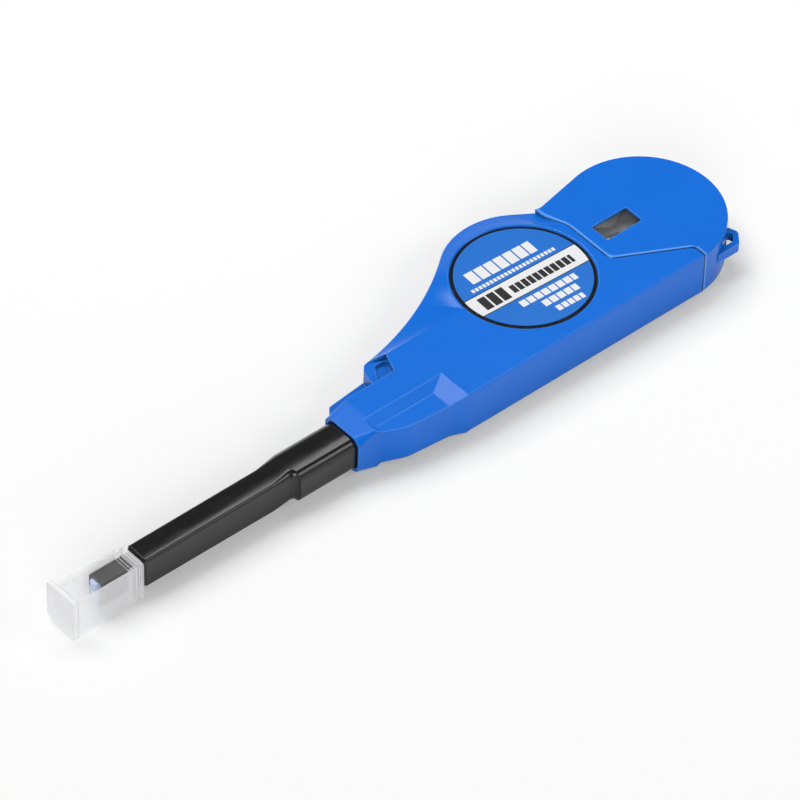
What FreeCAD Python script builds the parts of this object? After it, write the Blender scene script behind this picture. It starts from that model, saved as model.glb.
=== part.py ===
"""Push-type fibre connector cleaning pen with a cleaning tape on two reels.

The pen lies on its side. +X runs from the nose to the tail, +Y towards the side with
the reel lobes, +Z up to the labelled face. The origin is on the resting face, under the
barrel's axis, level with the take-up reel. All lengths are millimetres.
"""
import FreeCAD, Part

import math
import os

from FreeCAD import Vector

SIZES = {
    # housing
    "body_thick": 13.7, "wall": 1.6, "near_side": 12.3, "edge_round": 0.45,
    "mouth_x": -74.3, "neck_end_x": -41.5, "mouth_near_y": 6.8, "mouth_far_y": 6.9,
    "mouth_tall": 12.1, "mouth_round": 2.6, "nose_x": -67.3, "nose_near_y": 7.1, "nose_round": 0.3,
    "neck_far_y": 7.2, "duct_play": 0.3,
    "lobe_x": 2.3, "lobe_y": 16.0, "lobe_rad": 22.1, "lobe_rear_deg": 56.0, "lobe_front_deg": 128.0,
    "flank_y": 13.4, "flank_drop": 1.75, "flank_tip_x": -53.9, "flank_tip_y": 15.2, "sweep_deg": 9.0,
    "tail_x": 41.6, "tail_rad": 23.0, "tail_rise_deg": 11.3, "valley_rad": 3.0,
    "web_thick": 1.8, "web_y": 12.2, "nook_depth": 2.8,
    "dish_depth": 1.3, "dish_y": -1.5, "dish_back_x": -41.1, "dish_front_x": -68.6,
    "seam_x": 22.55, "seam_knee_y": 3.2, "seam_low_x": 43.3, "seam_low_y": -8.0, "seam_gap": 0.2,
    # label, its black cover and the window
    "label_y": 12.6, "cover_rad": 19.8, "label_rad": 18.9, "ring_rad": 20.7,
    "recess_depth": 0.9, "cover_thick": 0.6, "label_thick": 0.15, "fit_gap": 0.1,
    "window_x": 33.2, "window_y": 12.1, "window_long": 12.5, "window_wide": 6.6, "pane_thick": 0.8,
    "window_ledge": 1.0,
    # lanyard eye at the tail
    "eye_thick": 2.9, "eye_low_z": 6.0, "eye_rim": 1.7, "eye_x": 60.1, "eye_y": -11.2, "eye_play": 0.05,
    # barrel and cleaning tip
    "barrel_tip_x": -143.7, "taper_x": -100.5, "shoulder_x": -93.2, "barrel_root_x": -58.0,
    "slim_wide": 7.7, "slim_tall": 9.7, "stout_wide": 11.7, "stout_tall": 10.4,
    "slim_round": 0.9, "stout_round": 2.7, "rim_bevel": 0.6, "slim_draft": 0.1, "spigot_long": 6.0,
    "tip_wide": 5.5, "tip_tall": 8.2, "tip_reach": 13.1, "tip_grip": 13.7, "tip_play": 0.1,
    "tip_round": 0.8, "tip_wall": 0.5, "head_reach": 1.5, "head_grip": 12.0,
    "tip_spring_long": 8.0, "tip_spring_turns": 3, "tip_spring_wire": 0.3,
    # cap and lid
    "cap_reach": 11.6, "cap_gap": 1.7, "cap_neck_long": 2.5, "cap_wide": 9.2, "cap_tall": 13.5,
    "cap_shift_y": -1.1, "cap_wall": 0.7, "cap_round": 0.9, "cap_play": 0.08,
    "lid_thick": 1.5, "lid_tab": 1.9, "lid_gap": 0.05, "collar_thick": 0.9, "collar_step": 0.8,
    # drive
    "stroke": 12.0, "tooth_module": 0.8, "pinion_teeth": 16, "rack_teeth": 12,
    "ratchet_teeth": 24, "ratchet_rad": 13.2, "post_rad": 2.0, "bore_play": 0.05,
    "spring_rad": 2.3, "spring_wire": 0.8, "spring_turns": 6, "spring_x": 10.0, "spring_long": 24.0,
    "spring_y": -7.5, "spring_play": 0.05, "spring_seat": 0.6,
    # reels and tape
    "flange_thick": 0.8, "flange_low_z": 4.2, "flange_top_z": 8.6, "hub_rad": 5.0,
    "take_up_rad": 12.5, "used_roll_rad": 7.0, "supply_rad": 15.8, "supply_hub_rad": 6.3,
    "fresh_roll_rad": 14.2, "spoke_deg": 156.0,
    "tape_wide": 3.0, "tape_thick": 0.16, "tape_half_gap": 1.4, "run_half_gap": 1.75,
    "loop_long": 9.0, "run_gap": 3.8,
    "feed_post_x": -22.0, "return_post_x": -26.0, "guide_rad": 1.5, "pawl_deg": 120.0, "pawl_reach": 16.3,
    # plate that carries the mechanism
    "plate_thick": 1.2, "plate_gap": 0.1, "arm_low_z": 9.6, "arm_thick": 1.6,
}

DERIVED = {
    "tip_front_x": "barrel_tip_x - tip_reach",
    "tip_back_x": "barrel_tip_x + tip_grip",
    "cap_front_x": "tip_front_x - cap_reach",
    "lid_seat_x": "cap_front_x + lid_thick",
    "cap_back_x": "barrel_tip_x - cap_gap",
    "cap_neck_x": "cap_back_x - cap_neck_long",
    "loop_back_x": "tip_front_x + loop_long",
    "tape_front_x": "loop_back_x + run_gap",
    "tail_y": "tail_rad - near_side",
    "half_thick": "body_thick / 2",
    "room_thick": "body_thick - 2 * wall",
    "drum_low_z": "flange_top_z - flange_low_z",
    "plate_low_z": "wall + plate_gap",
}

FAR = 200.0             # reach of the cutting outlines, well past the housing
WIRE_SIDES = 6          # flats round a spring's wire

doc = FreeCAD.newDocument("cleaning_pen")
sheet = doc.addObject("Spreadsheet::Sheet", "sizes")
for row, (name, value) in enumerate({**SIZES, **DERIVED}.items(), start=1):
    sheet.set(f"A{row}", name)
    sheet.set(f"B{row}", f"={value}")
    sheet.setAlias(f"B{row}", name)
doc.recompute()


def size(name):
    """Value of one cell of the sheet."""
    return float(sheet.get(name))


PIECES = []


# ---------------------------------------------------------------- plane geometry

def tangent_corner(x, y, radius, first_deg, last_deg):
    """Corner whose two sides touch a circle where its normals point at the two angles."""
    middle = math.radians((first_deg + last_deg) / 2)
    half = math.radians(last_deg - first_deg) / 2
    reach = radius / math.cos(half)
    return (x + reach * math.cos(middle), y + reach * math.sin(middle), radius)


def crossing(point_a, angle_a, point_b, angle_b):
    """Point where two straight lines, each given by a point and a direction, cross."""
    ax, ay = math.cos(math.radians(angle_a)), math.sin(math.radians(angle_a))
    bx, by = math.cos(math.radians(angle_b)), math.sin(math.radians(angle_b))
    dx, dy = point_b[0] - point_a[0], point_b[1] - point_a[1]
    along = (dx * by - dy * bx) / (ax * by - ay * bx)
    return (point_a[0] + along * ax, point_a[1] + along * ay)


def inset(corners, depth):
    """Corners of an anticlockwise outline moved inwards by a depth."""
    moved = []
    count = len(corners)
    for i, (x, y, radius) in enumerate(corners):
        before, after = corners[i - 1], corners[(i + 1) % count]
        angle_in = math.degrees(math.atan2(y - before[1], x - before[0]))
        angle_out = math.degrees(math.atan2(after[1] - y, after[0] - x))
        normal_in = math.radians(angle_in + 90)
        normal_out = math.radians(angle_out + 90)
        on_first = (x + depth * math.cos(normal_in), y + depth * math.sin(normal_in))
        on_last = (x + depth * math.cos(normal_out), y + depth * math.sin(normal_out))
        px, py = crossing(on_first, angle_in, on_last, angle_out)
        turn = (angle_out - angle_in + 180) % 360 - 180
        moved.append((px, py, max(radius - math.copysign(depth, turn), 0.0)))
    return moved


def bend(before, corner, after):
    """Start, middle and end of the arc that rounds one corner between its neighbours."""
    here = Vector(*corner[:2], 0)
    radius = corner[2]
    if radius < 1e-6:
        return (here, None, here)
    back = (Vector(*before[:2], 0) - here).normalize()
    ahead = (Vector(*after[:2], 0) - here).normalize()
    half = back.getAngle(ahead) / 2
    reach = radius / math.tan(half)
    inward = (back + ahead).normalize()
    crown = here + inward * (radius / math.sin(half) - radius)
    return (here + back * reach, crown, here + ahead * reach)


def rounded(corners):
    """Closed outline through (x, y, radius) corners: straight sides and tangent arcs."""
    count = len(corners)
    touches = [bend(corners[i - 1], corner, corners[(i + 1) % count]) for i, corner in enumerate(corners)]
    edges = []
    for i, (first, crown, last) in enumerate(touches):
        if crown is not None:
            edges.append(Part.Arc(first, crown, last))
        following = touches[(i + 1) % count][0]
        if (following - last).Length > 1e-5:
            edges.append(Part.LineSegment(last, following))
    return edges


def polygon(points):
    """Closed outline of straight sides."""
    return rounded([(x, y, 0.0) for x, y in points])


def rectangle(x_low, x_high, y_low, y_high, radius=0.0):
    """Rectangle with rounded corners."""
    return rounded([(x_low, y_low, radius), (x_high, y_low, radius),
                    (x_high, y_high, radius), (x_low, y_high, radius)])


def section(low, high, tall, radius):
    """Upright rounded section between two sides, centred on the axis."""
    return rectangle(low, high, -tall / 2, tall / 2, radius)


def disc(x, y, radius):
    """One full circle."""
    return [Part.Circle(Vector(x, y, 0), Vector(0, 0, 1), radius)]


def arc(x, y, radius, first_deg, last_deg):
    """Arc of a circle through its two ends and its middle."""
    points = []
    for angle in (first_deg, (first_deg + last_deg) / 2, last_deg):
        turn = math.radians(angle)
        points.append(Vector(x + radius * math.cos(turn), y + radius * math.sin(turn), 0))
    return Part.Arc(*points)


def stretch(curve, first, last):
    """Part of an arc between two shares of its length."""
    start, long = curve.FirstParameter, curve.LastParameter - curve.FirstParameter
    return Part.Arc(*[curve.value(start + share * long) for share in (first, (first + last) / 2, last)])


# ---------------------------------------------------------------- feature helpers

def new_body(label, height="0", x="0", y="0"):
    """Empty body, one of the pen's pieces, placed from the sheet."""
    body = doc.addObject("PartDesign::Body", label)
    body.Label = label
    body.setExpression("Placement.Base.x", x)
    body.setExpression("Placement.Base.y", y)
    body.setExpression("Placement.Base.z", height)
    PIECES.append(body)
    return body


def origin_plane(body, role):
    """One of the body's own origin planes."""
    for feature in body.Origin.OriginFeatures:
        if feature.Role == role:
            return feature
    raise ValueError(role)


def sketch(body, name, edges, offset="0", role="XY_Plane"):
    """Sketch on one of the body's origin planes, moved along its normal."""
    drawn = body.newObject("Sketcher::SketchObject", name)
    drawn.AttachmentSupport = [(origin_plane(body, role), "")]
    drawn.MapMode = "FlatFace"
    drawn.setExpression("AttachmentOffset.Base.z", offset)
    drawn.addGeometry(edges, False)
    return drawn


def pad(body, name, edges, length, offset="0", role="XY_Plane", both_ways=False):
    """Pad of an outline, upwards from its plane or half each way."""
    feature = body.newObject("PartDesign::Pad", name)
    feature.Profile = sketch(body, name + "_outline", edges, offset, role)
    feature.setExpression("Length", length)
    feature.SideType = "Symmetric" if both_ways else "One side"
    return feature


def pocket(body, name, edges, length, offset="0", role="XY_Plane", both_ways=False, upwards=False):
    """Pocket of an outline, downwards from its plane, upwards, or half each way."""
    feature = body.newObject("PartDesign::Pocket", name)
    feature.Profile = sketch(body, name + "_outline", edges, offset, role)
    feature.setExpression("Length", length)
    feature.SideType = "Symmetric" if both_ways else "One side"
    feature.Reversed = upwards
    return feature


def loft(body, name, kind, first, last):
    """Ruled loft between two sketches, added or taken away."""
    feature = body.newObject("PartDesign::" + kind, name)
    feature.Profile = first
    feature.Sections = [last]
    feature.Ruled = True
    return feature


def mirrored(body, name, originals):
    """The same features again below the middle plane."""
    feature = body.newObject("PartDesign::Mirrored", name)
    feature.Originals = originals
    feature.MirrorPlane = (origin_plane(body, "XY_Plane"), [""])
    body.Tip = feature
    return feature


def pattern(body, name, original, count, angle=None, length=None):
    """Copies of a feature round the body's Z axis, or in a row along its X axis."""
    kind = "PolarPattern" if length is None else "LinearPattern"
    feature = body.newObject("PartDesign::" + kind, name)
    feature.Originals = [original]
    if length is None:
        feature.Axis = (origin_plane(body, "Z_Axis"), [""])
        feature.Angle = angle
    else:
        feature.Direction = (origin_plane(body, "X_Axis"), [""])
        feature.setExpression("Length", length)
    feature.setExpression("Occurrences", count)
    body.Tip = feature
    return feature


def soften(body, name, choose, amount, kind="Fillet"):
    """Fillet or chamfer on the edges of the body that a test picks."""
    doc.recompute()
    base = body.Tip
    names = [f"Edge{i}" for i, edge in enumerate(base.Shape.Edges, start=1) if choose(edge)]
    feature = body.newObject("PartDesign::" + kind, name)
    feature.Base = (base, names)
    feature.setExpression("Radius" if kind == "Fillet" else "Size", amount)
    return feature


def along(edge, axis, **places):
    """Whether an edge is straight along an axis and lies at the given coordinates."""
    if edge.Curve.TypeId != "Part::GeomLine":
        return False
    heading = edge.Vertexes[-1].Point - edge.Vertexes[0].Point
    if abs(abs(getattr(heading.normalize(), axis)) - 1) > 1e-3:
        return False
    centre = edge.CenterOfMass
    return all(abs(getattr(centre, key) - value) < 1e-3 for key, value in places.items())


def solid(label, shape):
    """A piece whose shape is made directly."""
    feature = doc.addObject("Part::Feature", label)
    feature.Label = label
    feature.Shape = shape
    PIECES.append(feature)
    return feature


# ---------------------------------------------------------------- housing outlines

def neck_near():
    """Near side of the neck, from the nose to the full width."""
    near = size("near_side")
    nose, end = size("nose_x"), size("neck_end_x")
    long = end - nose
    return [(nose, -size("nose_near_y"), 0.0), (nose + 0.27 * long, -0.82 * near, 9.0),
            (end - 0.16 * long, -0.93 * near, 5.0), (end, -near, 4.0)]


def neck_far():
    """Far end of the neck's outline."""
    return [(size("nose_x"), size("neck_far_y"), 0.0)]


def tail_corners():
    """Corners that carry the round tail."""
    x, radius = size("tail_x"), size("tail_rad")
    y = radius - size("near_side")
    return [tangent_corner(x, y, radius, -90.0, 0.0),
            tangent_corner(x, y, radius, 0.0, 90.0 + size("tail_rise_deg"))]


def lobe():
    """Centre and radius of the lobe over the take-up reel."""
    return (size("lobe_x"), size("lobe_y"), size("lobe_rad"))


def lobe_side():
    """Valley, reel lobe and the long hollow sweep in front of it."""
    rear, front = size("lobe_rear_deg"), size("lobe_front_deg")
    crest = tangent_corner(*lobe(), rear, front)
    valley = crossing(tail_corners()[1][:2], size("tail_rise_deg"), crest[:2], rear + 90.0)
    tip = (size("flank_tip_x"), size("flank_tip_y"))
    sweep = crossing(tip, size("sweep_deg"), crest[:2], front - 90.0)
    touch = arc(*lobe(), rear, front).EndPoint
    half_turn = math.radians(front - 90.0 - size("sweep_deg")) / 2
    reach = min(math.dist((touch.x, touch.y), sweep), 0.97 * math.dist(tip, sweep))
    return [(*valley, size("valley_rad")), crest, (*sweep, reach / math.tan(half_turn))]


def flank_tip():
    """Slanted front end of the flank, down to the neck."""
    x, y = size("flank_tip_x"), size("flank_tip_y")
    return [(x, y, 1.2), (x - 1.6, y - 1.7, 1.0), (x - 3.2, size("neck_far_y"), 0.0)]


def silhouette():
    """Whole outline of the housing at its mid height, without the front web."""
    return neck_near() + tail_corners() + lobe_side() + flank_tip() + neck_far()


def seam(shift=0.0):
    """Parting line between the front and rear shells, from the far side to the near one."""
    x, low_x = size("seam_x") + shift, size("seam_low_x") + shift
    return [(x - 2.6, FAR, 0.0), (x - 2.6, 27.0 + shift, 4.0), (x, 20.0, 6.0),
            (x, size("seam_knee_y"), 1.0), (low_x, size("seam_low_y"), 1.2), (low_x, -FAR, 0.0)]


def inside():
    """Outline of the hollow behind the neck."""
    wall = size("wall")
    hollow = inset(silhouette(), wall)
    first = len(neck_near())
    front_x = size("flank_tip_x") + 2 * wall
    near = hollow[first - 2:first]
    return ([(front_x, near[0][1] + 0.6, 0.8)] + near + hollow[first:first + 5]
            + [(front_x, size("flank_tip_y") - wall, 0.8)])


# ---------------------------------------------------------------- housing pieces

def front_shell():
    """One-piece blue sleeve: neck, near wall, label face and the sloping far flank."""
    body = new_body("front_shell", "sizes.half_thick")
    label_y, ring, wall = size("label_y"), size("ring_rad"), size("wall")
    flank_y, near, half = size("flank_y"), size("near_side"), size("half_thick")
    step_x = size("flank_tip_x") + 3.6
    behind = size("seam_low_x") + 3.0
    ring_x = -math.sqrt(ring ** 2 - (flank_y - label_y) ** 2)
    front_deg, rear_deg = size("lobe_front_deg"), size("lobe_rear_deg")
    ring_front = arc(0, label_y, ring, math.degrees(math.atan2(flank_y - label_y, ring_x)), front_deg - 8.0)
    ring_rear = arc(0, label_y, ring, front_deg - 8.0, rear_deg - 22.0)
    parting_edge = Vector(size("seam_x") + 1.0, size("label_y") + 7.4, 0)

    face = (neck_near()
            + [(behind, -near, 0.0), (behind, parting_edge.y, 0.0), (parting_edge.x, parting_edge.y, 0.0),
               (ring_rear.EndPoint.x, ring_rear.EndPoint.y, 0.0), (0.0, label_y, 0.0),
               (ring_x, flank_y, 0.0), (step_x + 2.4, flank_y, 0.8), (step_x, size("neck_far_y"), 1.5)]
            + neck_far())
    pad(body, "full_thickness", rounded(face), "sizes.body_thick", both_ways=True)
    pad(body, "label_drum", disc(0, label_y, ring), "sizes.body_thick", both_ways=True)
    pad(body, "flank_core", rounded(silhouette()), "sizes.body_thick - 2 * sizes.flank_drop",
        both_ways=True)

    # sloping flank: ruled from the edge of the top face out and down to the outline
    start, root = Vector(step_x + 2.4, flank_y, 0), Vector(-8.0, 4.0, 0)
    upper = [Part.LineSegment(start, ring_front.StartPoint), ring_front, ring_rear,
             Part.LineSegment(ring_rear.EndPoint, parting_edge), Part.LineSegment(parting_edge, root),
             Part.LineSegment(root, start)]
    side = lobe_side()
    sweep_end, crown, sweep_start = bend(side[1], side[2], flank_tip()[0])
    sweep = Part.Arc(sweep_start, crown, sweep_end)
    crest = Part.Arc(sweep_end, arc(*lobe(), front_deg, (front_deg + rear_deg) / 2).EndPoint,
                     arc(*lobe(), front_deg, rear_deg).EndPoint)
    fall = math.radians(rear_deg - 90.0)
    parting_foot = crest.EndPoint + Vector(math.cos(fall), math.sin(fall), 0) * 10.5
    lower = [stretch(sweep, 0.0, 0.6), stretch(sweep, 0.6, 1.0), crest,
             Part.LineSegment(crest.EndPoint, parting_foot),
             Part.LineSegment(parting_foot, root), Part.LineSegment(root, sweep_start)]
    slope = loft(body, "flank_slope", "AdditiveLoft",
                 sketch(body, "slope_top", upper, "sizes.half_thick"),
                 sketch(body, "slope_foot", lower, "sizes.half_thick - sizes.flank_drop"))
    mirrored(body, "flank_slopes", [slope])

    # thin web beside the neck, at mid height
    x, y, mouth_x = size("flank_tip_x"), size("web_y"), size("mouth_x")
    web = [(mouth_x + 3.0, 4.0, 0.0), (x, 4.0, 0.0), (x - 1.4, size("flank_tip_y") - 1.7, 0.6),
           (mouth_x + 5.8, y, 1.4), (mouth_x + 3.4, y - 3.4, 1.2)]
    pad(body, "web", rounded(web), "sizes.web_thick", both_ways=True)

    # the nose narrows to a rounded mouth round the barrel
    mouth_outline = section(-size("mouth_near_y"), size("mouth_far_y"), size("mouth_tall"),
                            size("mouth_round"))
    mouth = sketch(body, "mouth_section", mouth_outline, "sizes.mouth_x", "YZ_Plane")
    nose = sketch(body, "nose_section",
                  section(-size("nose_near_y"), size("neck_far_y"), 2 * half, size("nose_round")),
                  "sizes.nose_x", "YZ_Plane")
    loft(body, "nose", "AdditiveLoft", mouth, nose)

    # dished grip on the near edge of the neck and the nook behind the web, on both faces
    x_front, x_back, y_edge = size("dish_front_x"), size("dish_back_x"), size("dish_y")
    over = 0.2
    dish = loft(body, "dish", "SubtractiveLoft",
                sketch(body, "dish_rim", rectangle(x_front - over, x_back + over, -2 * near, y_edge + over),
                       "sizes.half_thick + 0.05"),
                sketch(body, "dish_floor", rectangle(x_front + 1.8, x_back - 6.0, -2 * near, y_edge - 3.4),
                       "sizes.half_thick - sizes.dish_depth"))
    far_y = size("neck_far_y")
    nook_outline = [(step_x - 5.4, far_y, 0.0), (step_x, far_y, 0.0), (step_x + 2.2, flank_y - 0.4, 0.8),
                    (step_x - 1.6, flank_y - 0.2, 1.2)]
    nook = pocket(body, "nook", rounded(nook_outline), "sizes.nook_depth", "sizes.half_thick")
    mirrored(body, "grips_and_nooks", [dish, nook])

    # everything behind the parting line belongs to the rear shells
    pocket(body, "parting", rounded(seam() + [(FAR, -FAR, 0.0), (FAR, FAR, 0.0)]),
           "2 * sizes.body_thick", both_ways=True)

    # hollow inside
    pocket(body, "hollow", rounded(inside()), "sizes.body_thick - 2 * (sizes.wall + sizes.flank_drop)",
           both_ways=True)
    core = inside()[:3] + [(behind, -near + wall, 0.0), (behind, 20.0, 0.0), (12.0, 20.0, 0.0),
                           (0.0, label_y, 0.0), (ring_x + 2 * wall, flank_y - wall, 0.0),
                           (step_x + 2.4, flank_y - wall, 0.8)]
    pocket(body, "core_hollow", rounded(core), "sizes.room_thick", both_ways=True)
    pocket(body, "drum_hollow", disc(0, label_y, ring - wall), "sizes.room_thick", both_ways=True)
    play = size("duct_play")
    duct_y = size("stout_wide") / 2 + play
    pocket(body, "duct", section(-duct_y, duct_y, size("stout_tall") + 2 * play, size("stout_round") + play),
           "sizes.barrel_root_x + sizes.stroke - sizes.mouth_x + 1.5", "sizes.mouth_x - 1", "YZ_Plane",
           upwards=True)

    # recess for the round cover, with a bevelled lip
    cover, depth = size("cover_rad"), size("recess_depth")
    rim, lip = cover + size("fit_gap"), (ring - cover) / 2
    recess_section = [(0.0, half - depth), (rim, half - depth), (rim, half - lip), (rim + lip, half),
                      (rim + lip, half + 1.0), (0.0, half + 1.0)]
    profile = sketch(body, "recess_profile", polygon(recess_section), "-sizes.label_y", "XZ_Plane")
    recess = body.newObject("PartDesign::Groove", "cover_recess")
    recess.Profile = profile
    recess.ReferenceAxis = (profile, ["V_Axis"])
    recess.Angle = 360.0

    def on_near_edge(edge):
        return along(edge, "x", y=-near, z=half) or along(edge, "x", y=-near, z=-half)

    soften(body, "near_edges", on_near_edge, "sizes.edge_round")


def eye_outline():
    """Plan outline of the lanyard eye at the tail."""
    x, y, root_x = size("eye_x"), size("eye_y"), size("tail_x") + 8.0
    return [(root_x, y, 0.0), (x - 2.9, y, 1.2), (x, y + 3.6, 1.6), (x - 1.4, y + 7.6, 0.6),
            (root_x, y + 9.0, 0.0)]


def rear_shell(label, upper):
    """One half of the blue rear shell, parted at mid height."""
    body = new_body(label, "sizes.half_thick")
    half, eye_height = size("half_thick"), "sizes.eye_low_z - sizes.half_thick"
    pad(body, "tail", rounded(silhouette()), "sizes.half_thick", "0" if upper else "-sizes.half_thick")
    if not upper:
        pad(body, "lanyard_eye", rounded(eye_outline()), "sizes.eye_thick", eye_height)
    in_front = list(reversed(seam(size("seam_gap")))) + [(-FAR, FAR, 0.0), (-FAR, -FAR, 0.0)]
    pocket(body, "parting", rounded(in_front), "3 * sizes.body_thick", both_ways=True)
    pocket(body, "hollow", rounded(inside()), "sizes.room_thick", both_ways=True)
    if upper:
        window_opening(body)
        pocket(body, "eye_notch", rounded(inset(eye_outline(), -size("eye_play"))),
               eye_height + " + sizes.eye_thick + sizes.eye_play + 1", "-1", upwards=True)
    else:
        x, y, rim = size("eye_x"), size("eye_y"), size("eye_rim")
        slot = [(x - 3.4 - 2 * rim, y + rim, 0.8), (x - 1.9 - rim, y + rim, 0.9), (x - rim, y + 3.9, 0.9),
                (x - rim - 0.5, y + 5.2, 0.5), (x - 2.2 - 2 * rim, y + 5.6, 0.5)]
        pocket(body, "lanyard_slot", rounded(slot), "sizes.eye_thick + 1", eye_height + " - 0.5",
               upwards=True)

    def on_outer_face(edge):
        level = half if upper else -half
        flat = all(abs(vertex.Z - level) < 1e-3 for vertex in edge.Vertexes)
        behind_seam = edge.CenterOfMass.x > size("seam_x") - 2.0
        return flat and behind_seam and on_silhouette(edge)

    soften(body, "outer_edges", on_outer_face, "sizes.edge_round")


def on_silhouette(edge):
    """Whether an edge of a rear shell lies on the outline of the tail."""
    far_line, middle = tail_corners()[1], edge.valueAt((edge.FirstParameter + edge.LastParameter) / 2)
    from_tail = math.dist((middle.x, middle.y), (size("tail_x"), size("tail_y")))
    on_tail = abs(from_tail - size("tail_rad")) < 0.01
    fall = math.radians(size("tail_rise_deg"))
    from_line = (middle.x - far_line[0]) * math.sin(fall) - (middle.y - far_line[1]) * math.cos(fall)
    return on_tail or abs(from_line) < 0.01 or abs(middle.y + size("near_side")) < 0.01


def window_opening(body):
    """Window through the upper shell and the ledge that holds its pane."""
    half_long, half_wide, ledge = size("window_long") / 2, size("window_wide") / 2, size("window_ledge")
    x, y = size("window_x"), size("window_y")
    pocket(body, "window", rectangle(x - half_long, x + half_long, y - half_wide, y + half_wide, 0.4),
           "2 * sizes.wall", "sizes.half_thick")
    pocket(body, "window_seat", rectangle(x - half_long - ledge, x + half_long + ledge,
                                          y - half_wide - ledge, y + half_wide + ledge, 0.6),
           "sizes.wall - sizes.pane_thick + 0.05", "sizes.half_thick - sizes.wall", upwards=True)


def window_pane():
    """Clear pane seated under the edge of the window."""
    body = new_body("window_pane", "sizes.body_thick - sizes.wall")
    x, y, ledge = size("window_x"), size("window_y"), size("window_ledge") - 0.1
    half_long, half_wide = size("window_long") / 2 + ledge, size("window_wide") / 2 + ledge
    pad(body, "pane", rectangle(x - half_long, x + half_long, y - half_wide, y + half_wide, 0.5),
        "sizes.pane_thick")


def reel_cover():
    """Glossy black cover that closes the round recess over the take-up reel."""
    body = new_body("reel_cover", "sizes.body_thick - sizes.recess_depth", y="sizes.label_y")
    pad(body, "cover", disc(0, 0, size("cover_rad")), "sizes.cover_thick")


def round_label():
    """Thin round label stuck on the cover."""
    body = new_body("round_label", "sizes.body_thick - sizes.recess_depth + sizes.cover_thick",
                    y="sizes.label_y")
    pad(body, "label", disc(0, 0, size("label_rad")), "sizes.label_thick")


# ---------------------------------------------------------------- barrel and cleaning tip

def barrel():
    """Black hollow barrel: slim in front, a scooped shoulder, stout where it enters the housing."""
    body = new_body("barrel", "sizes.half_thick")
    slim, stout = size("slim_wide") / 2, size("stout_wide") / 2
    growth, tall = size("slim_draft"), size("slim_tall")
    round_slim, round_stout = size("slim_round"), size("stout_round")
    grown, grown_tall = slim + growth, tall + 2 * growth
    tip = sketch(body, "tip_section", section(-slim, slim, tall, round_slim),
                 "sizes.barrel_tip_x", "YZ_Plane")
    taper = sketch(body, "taper_section", section(-grown, grown, grown_tall, round_slim),
                   "sizes.taper_x", "YZ_Plane")
    loft(body, "slim_part", "AdditiveLoft", tip, taper)

    # the far side flares evenly; the near side stays slim, then scoops out to the stout width
    reach = stout - grown
    long = size("shoulder_x") - size("taper_x")
    stations = [(0.0, 0.0)]
    for degrees in (0, 30, 60, 90):
        turn = math.radians(degrees)
        stations.append((long - reach + reach * math.sin(turn), reach * (1 - math.cos(turn))))
    sections = []
    for number, (distance, swell) in enumerate(stations):
        share = distance / long
        corner = round_slim + (round_stout - round_slim) * share
        outline = section(-grown - swell, grown + reach * share,
                          grown_tall + (size("stout_tall") - grown_tall) * share, corner)
        sections.append(sketch(body, f"shoulder_section_{number}", outline, f"sizes.taper_x + {distance}",
                               "YZ_Plane"))
    shoulder = loft(body, "shoulder", "AdditiveLoft", sections[0], sections[1])
    shoulder.Sections = sections[1:]
    pad(body, "stout_part", section(-stout, stout, size("stout_tall"), round_stout),
        "sizes.barrel_root_x - sizes.shoulder_x", "sizes.shoulder_x", "YZ_Plane")

    def on_rim(edge):
        return all(abs(vertex.X - size("barrel_tip_x")) < 1e-3 for vertex in edge.Vertexes)

    soften(body, "rim", on_rim, "sizes.rim_bevel", "Chamfer")
    play = size("tip_play")
    wide, high = size("tip_wide") / 2 + play, size("tip_tall") / 2 + play
    pocket(body, "tip_bore", rectangle(-wide, wide, -high, high),
           "sizes.tip_back_x + sizes.tip_spring_long - sizes.barrel_tip_x + 1", "sizes.barrel_tip_x - 1",
           "YZ_Plane", upwards=True)
    duct_y, duct_z = size("run_half_gap") + 0.35, size("tape_wide") / 2 + 0.5
    pocket(body, "tape_duct", rectangle(-duct_y, duct_y, -duct_z, duct_z),
           "sizes.barrel_root_x - sizes.barrel_tip_x", "sizes.barrel_tip_x", "YZ_Plane", upwards=True)
    socket_y, socket_z = stout - 1.6, size("stout_tall") / 2 - 1.3
    pocket(body, "socket", rectangle(-socket_y, socket_y, -socket_z, socket_z),
           "sizes.spigot_long + 1", "sizes.barrel_root_x - sizes.spigot_long", "YZ_Plane", upwards=True)


def inner_tip():
    """Square sleeve that carries the cleaning head and slides a little in the barrel."""
    body = new_body("inner_tip", "sizes.half_thick")
    wide, tall, wall = size("tip_wide") / 2, size("tip_tall"), size("tip_wall")
    pad(body, "sleeve", section(-wide, wide, tall, size("tip_round")),
        "sizes.tip_back_x - sizes.tip_front_x", "sizes.tip_front_x", "YZ_Plane")
    bore_y, bore_z = wide - wall, tall / 2 - wall
    pocket(body, "bore", rectangle(-bore_y, bore_y, -bore_z, bore_z),
           "sizes.tip_back_x - sizes.tip_front_x + 2", "sizes.tip_front_x - 1", "YZ_Plane", upwards=True)


def head_profile(grow, back_x):
    """Plan outline of the round-nosed head, grown outwards, from its nose to a given x."""
    half = size("tape_half_gap") - size("tape_thick") / 2 + grow
    nose = size("tip_front_x") - size("head_reach") - grow
    return [Part.LineSegment(Vector(nose + half, -half, 0), Vector(back_x, -half, 0)),
            Part.LineSegment(Vector(back_x, -half, 0), Vector(back_x, half, 0)),
            Part.LineSegment(Vector(back_x, half, 0), Vector(nose + half, half, 0)),
            Part.Arc(Vector(nose + half, half, 0), Vector(nose, 0, 0), Vector(nose + half, -half, 0))]


def cleaning_head():
    """Round-nosed bar in the tip that the tape is pulled over."""
    body = new_body("cleaning_head", "sizes.half_thick")
    pad(body, "bar", head_profile(0.0, size("tip_front_x") + size("head_grip")),
        "sizes.tip_tall - 2 * sizes.tip_wall", both_ways=True)


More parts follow.
